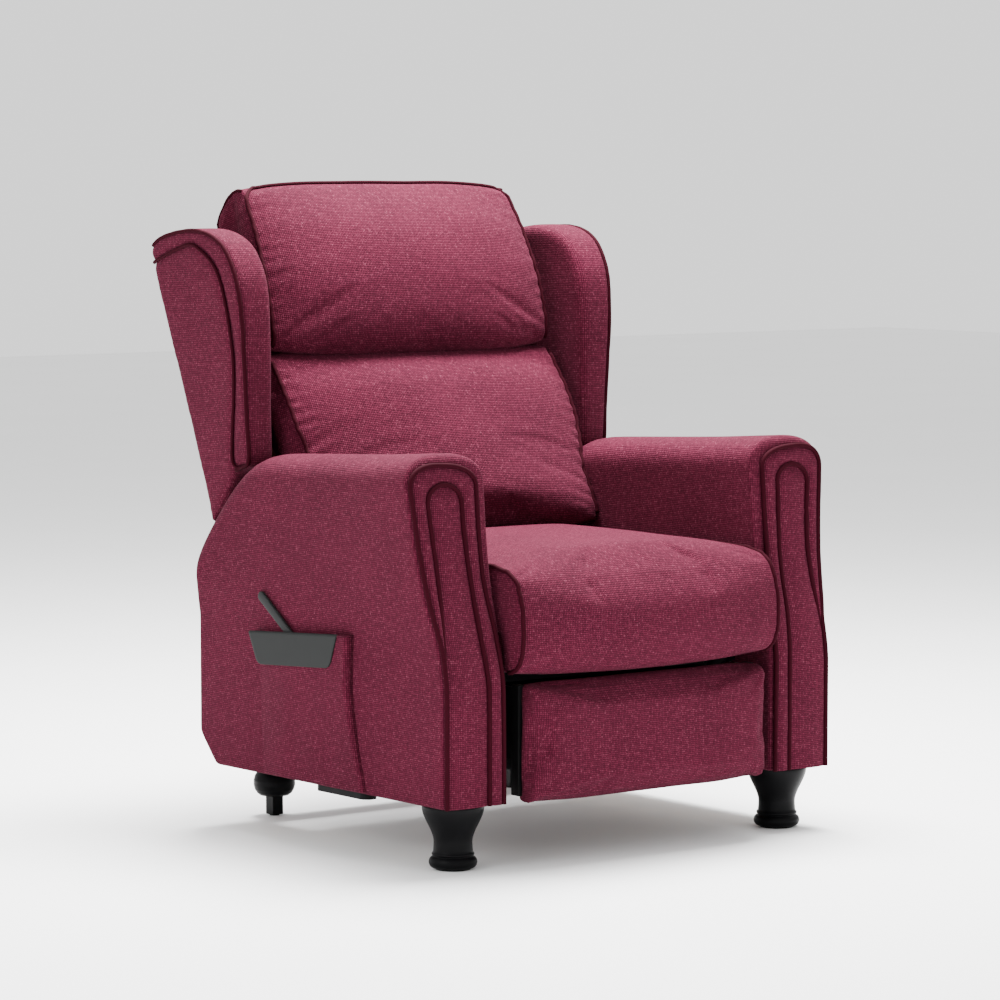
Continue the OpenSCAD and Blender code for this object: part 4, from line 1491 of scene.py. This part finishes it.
@dataclass
class Controls(Dressing):
    """The guard that clips over the pocket's mouth, and the recline lever behind it."""

    top: float = 52.0
    corner: float = 10.0
    lean: float = math.radians(34.5)
    pivot: ClassVar[tuple[float, float]] = (358.0, 207.0)

    def guard(self) -> bpy.types.Object:
        """The folded guard: a short flange, the bend and the face with its rounded foot."""

        def where(u: float, v: float) -> Vector:
            """A point of the guard: u from front to rear, v from the flange over the bend to the foot."""
            bend, flange, face = 4, 393.4, 397.4
            if v < 0.3:
                a = math.pi / 2 * (v / 0.3)
                x, drop = flange + bend * math.sin(a), bend * (1 - math.cos(a))
            else:
                x, drop = face, bend + (v - 0.3) / 0.7 * (self.top - bend)
            over = max(0.0, drop - (self.top - self.corner)) / self.corner
            round_in = self.corner * (1 - math.sqrt(max(0.0, 1 - over * over)))
            front = 254 + 20 * drop / self.top + round_in
            rear = 490 - 25 * drop / self.top - round_in
            y = front + (rear - front) * u
            return place(-x, y, mouth(240.5, y) - drop)

        obj = new_object("guard_plate", sheet_of((40, 40), where))
        thicken(obj, 2.4)
        edge = obj.modifiers.new("edge", "BEVEL")
        edge.width, edge.segments = 0.0007, 2
        return obj

    def lever(self) -> bpy.types.Object:
        """The lever: a round hub and a flat blade with a rounded tip."""
        along = Vector((math.cos(self.lean), math.sin(self.lean)))
        aside = Vector((-along.y, along.x))
        big, small, reach, waist = 11, 7.5, 130, (40, 6.2)
        hub = [(big * math.cos(a), big * math.sin(a)) for a in np.linspace(0.9, math.tau - 0.9, 24)]
        tip = [
            (reach + small * math.cos(a), small * math.sin(a)) for a in np.linspace(-math.pi / 2, math.pi / 2, 12)
        ]
        bm = bmesh.new()
        ring = []
        for run, off in [*hub, (waist[0], -waist[1]), *tip, waist]:
            at = Vector(self.pivot) + along * run + aside * off
            ring.append(bm.verts.new(place(-385.6, at.x, at.y)))
        face = bmesh.ops.contextual_create(bm, geom=ring)["faces"]
        raised = bmesh.ops.extrude_face_region(bm, geom=face)
        moved = [v for v in raised["geom"] if isinstance(v, bmesh.types.BMVert)]
        bmesh.ops.translate(bm, vec=(-5.0 * MM, 0, 0), verts=moved)
        rims = [e for e in bm.edges if len(e.link_faces) == 2 and e.calc_face_angle() > 1.2]
        soften_edges(bm, rims, 1.4)
        return new_object("lever_blade", bm)

    def dress(self) -> None:
        """Builds the guard and the lever."""
        self.hand_over(self.guard(), "grey_plastic", "lever_guard")
        self.hand_over(self.lever(), "lever_metal", "recline_lever", "lever_grip", body="lever")


@dataclass
class Feet(Dressing):
    """Turned front legs, and the cloth round the rail over the rear buns."""

    def turned(self, name: str, centre: Vector, profile: Sequence[tuple[float, float]]) -> bpy.types.Object:
        """Turns a profile round an upright line.

        Args:
            name: The object's name.
            centre: The line's foot.
            profile: Radii and heights, in millimetres.

        Returns:
            The turned piece.
        """
        bm = bmesh.new()
        verts = [bm.verts.new(centre + Vector((r * MM, 0, z * MM))) for r, z in profile]
        edges = [bm.edges.new(pair) for pair in zip(verts, verts[1:])]
        bmesh.ops.spin(bm, geom=verts + edges, cent=centre, axis=(0, 0, 1), angle=math.tau, steps=72, use_merge=True)
        bmesh.ops.remove_doubles(bm, verts=bm.verts, dist=1e-6)
        return new_object(name, bm)

    def dress(self) -> None:
        """Builds the front legs and the rail's cover."""
        foot, waist, top, high = 36.5, 29.0, 47.0, 98.7
        profile = [(0, 2), (30, 2), (foot - 8, 2.2)]
        profile += [(foot - 8 + 8 * math.cos(a), 11 + 9 * math.sin(a)) for a in np.linspace(-1.2, 1.15, 14)]
        profile += [(foot - 6.6, 20.4)]
        profile += [(foot - 7 + 2.6 * math.cos(a), 23.2 + 2.8 * math.sin(a)) for a in np.linspace(-1.1, 1.1, 8)]
        for k in range(25):
            t = k / 24
            r = waist + (foot - 6.5 - waist) * max(0, 1 - t * 4) ** 2 + (top - waist) * ease((t - 0.2) / 0.8)
            profile.append((r, 27 + t * (high - 30.7)))
        profile += [(top - 0.6, high - 1.3), (top - 2.4, high), (0, high)]
        for side in Side:
            low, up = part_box(f"{side.word}_front_leg")
            centre = Vector(((low.x + up.x) / 2, (low.y + up.y) / 2, 0))
            leg = self.turned(f"{side.word}_turned_leg", centre, profile)
            self.hand_over(leg, "black_wood", f"{side.word}_front_leg")
        low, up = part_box("rear_cross_rail")
        size = [(b - a) / MM + grow for a, b, grow in zip(low, up, (-1, 3, 3))]
        self.hand_over(covered_box("rear_rail_cover", size, (Vector(low) + Vector(up)) / 2, 1.2), "fabric")


class Studio:
    """The floor, the lights and the camera."""

    camera_at: ClassVar[tuple[float, float, float]] = (-4.019, -4.802, 1.055)
    yaw: ClassVar[float] = math.radians(37.9)
    tip: ClassVar[float] = math.radians(4.702)
    lens: ClassVar[float] = 148.7

    def light(self, name: str, at: tuple[float, float, float], size: tuple[float, float], power: float) -> None:
        """Adds a soft box that faces the chair.

        Args:
            name: Its name.
            at: Its place, in metres.
            size: Its width and height.
            power: Its power, in watts.
        """
        lamp = bpy.data.lights.new(name, "AREA")
        lamp.shape = "RECTANGLE"
        lamp.size, lamp.size_y = size
        lamp.energy = power
        made = bpy.data.objects.new(name, lamp)
        made.location = at
        made.rotation_euler = (Vector((0, 0, 0.5)) - Vector(at)).to_track_quat("-Z", "Y").to_euler()
        bpy.context.scene.collection.objects.link(made)

    def build(self) -> None:
        """Sets up the studio."""
        bm = bmesh.new()
        bmesh.ops.create_grid(bm, x_segments=1, y_segments=1, size=14)
        floor = new_object("studio_floor", bm)
        floor.data.materials.append(Paper().material())
        world = bpy.data.worlds.new("studio")
        world.use_nodes = True
        world.node_tree.nodes["Background"].inputs[0].default_value = (1, 1, 1, 1)
        world.node_tree.nodes["Background"].inputs[1].default_value = 1.4
        bpy.context.scene.world = world
        self.light("overhead_box", (0.5, 0.4, 3.2), (1.8, 1.6), 760)
        self.light("left_box", (-3.6, -0.6, 2.0), (1.6, 1.8), 60)
        camera = bpy.data.cameras.new("camera")
        camera.lens = self.lens
        camera.sensor_width = 36
        made = bpy.data.objects.new("camera", camera)
        made.location = (self.camera_at[0], self.camera_at[1] + ARM_FRONT, self.camera_at[2])
        made.rotation_euler = (math.pi / 2 - self.tip, 0, -self.yaw)
        bpy.context.scene.collection.objects.link(made)
        bpy.context.scene.camera = made


def finish_nodes(room: Workroom) -> None:
    """Gives every CAD node the finish of its slot."""
    slots = {p["node"]: p["material_slot"] for p in frame["record"]["subparts"]}
    for name, obj in frame["nodes"].items():
        obj.data.materials.clear()
        obj.data.materials.append(room.by_slot[slots[name]])


def main() -> None:
    """Dresses the chair."""
    logging.basicConfig(level=logging.INFO, format="%(name)s: %(message)s")
    Studio().build()
    room = Workroom()
    finish_nodes(room)
    for side in Side:
        Arm(room, side).dress()
        Wing(room, side).dress()
    OutsideBack(room).dress()
    Seat(room).dress()
    BackCushions(room).dress()
    Footrest(room).dress()
    Pocket(room).dress()
    Controls(room).dress()
    Feet(room).dress()


if __name__ == "__main__":
    main()
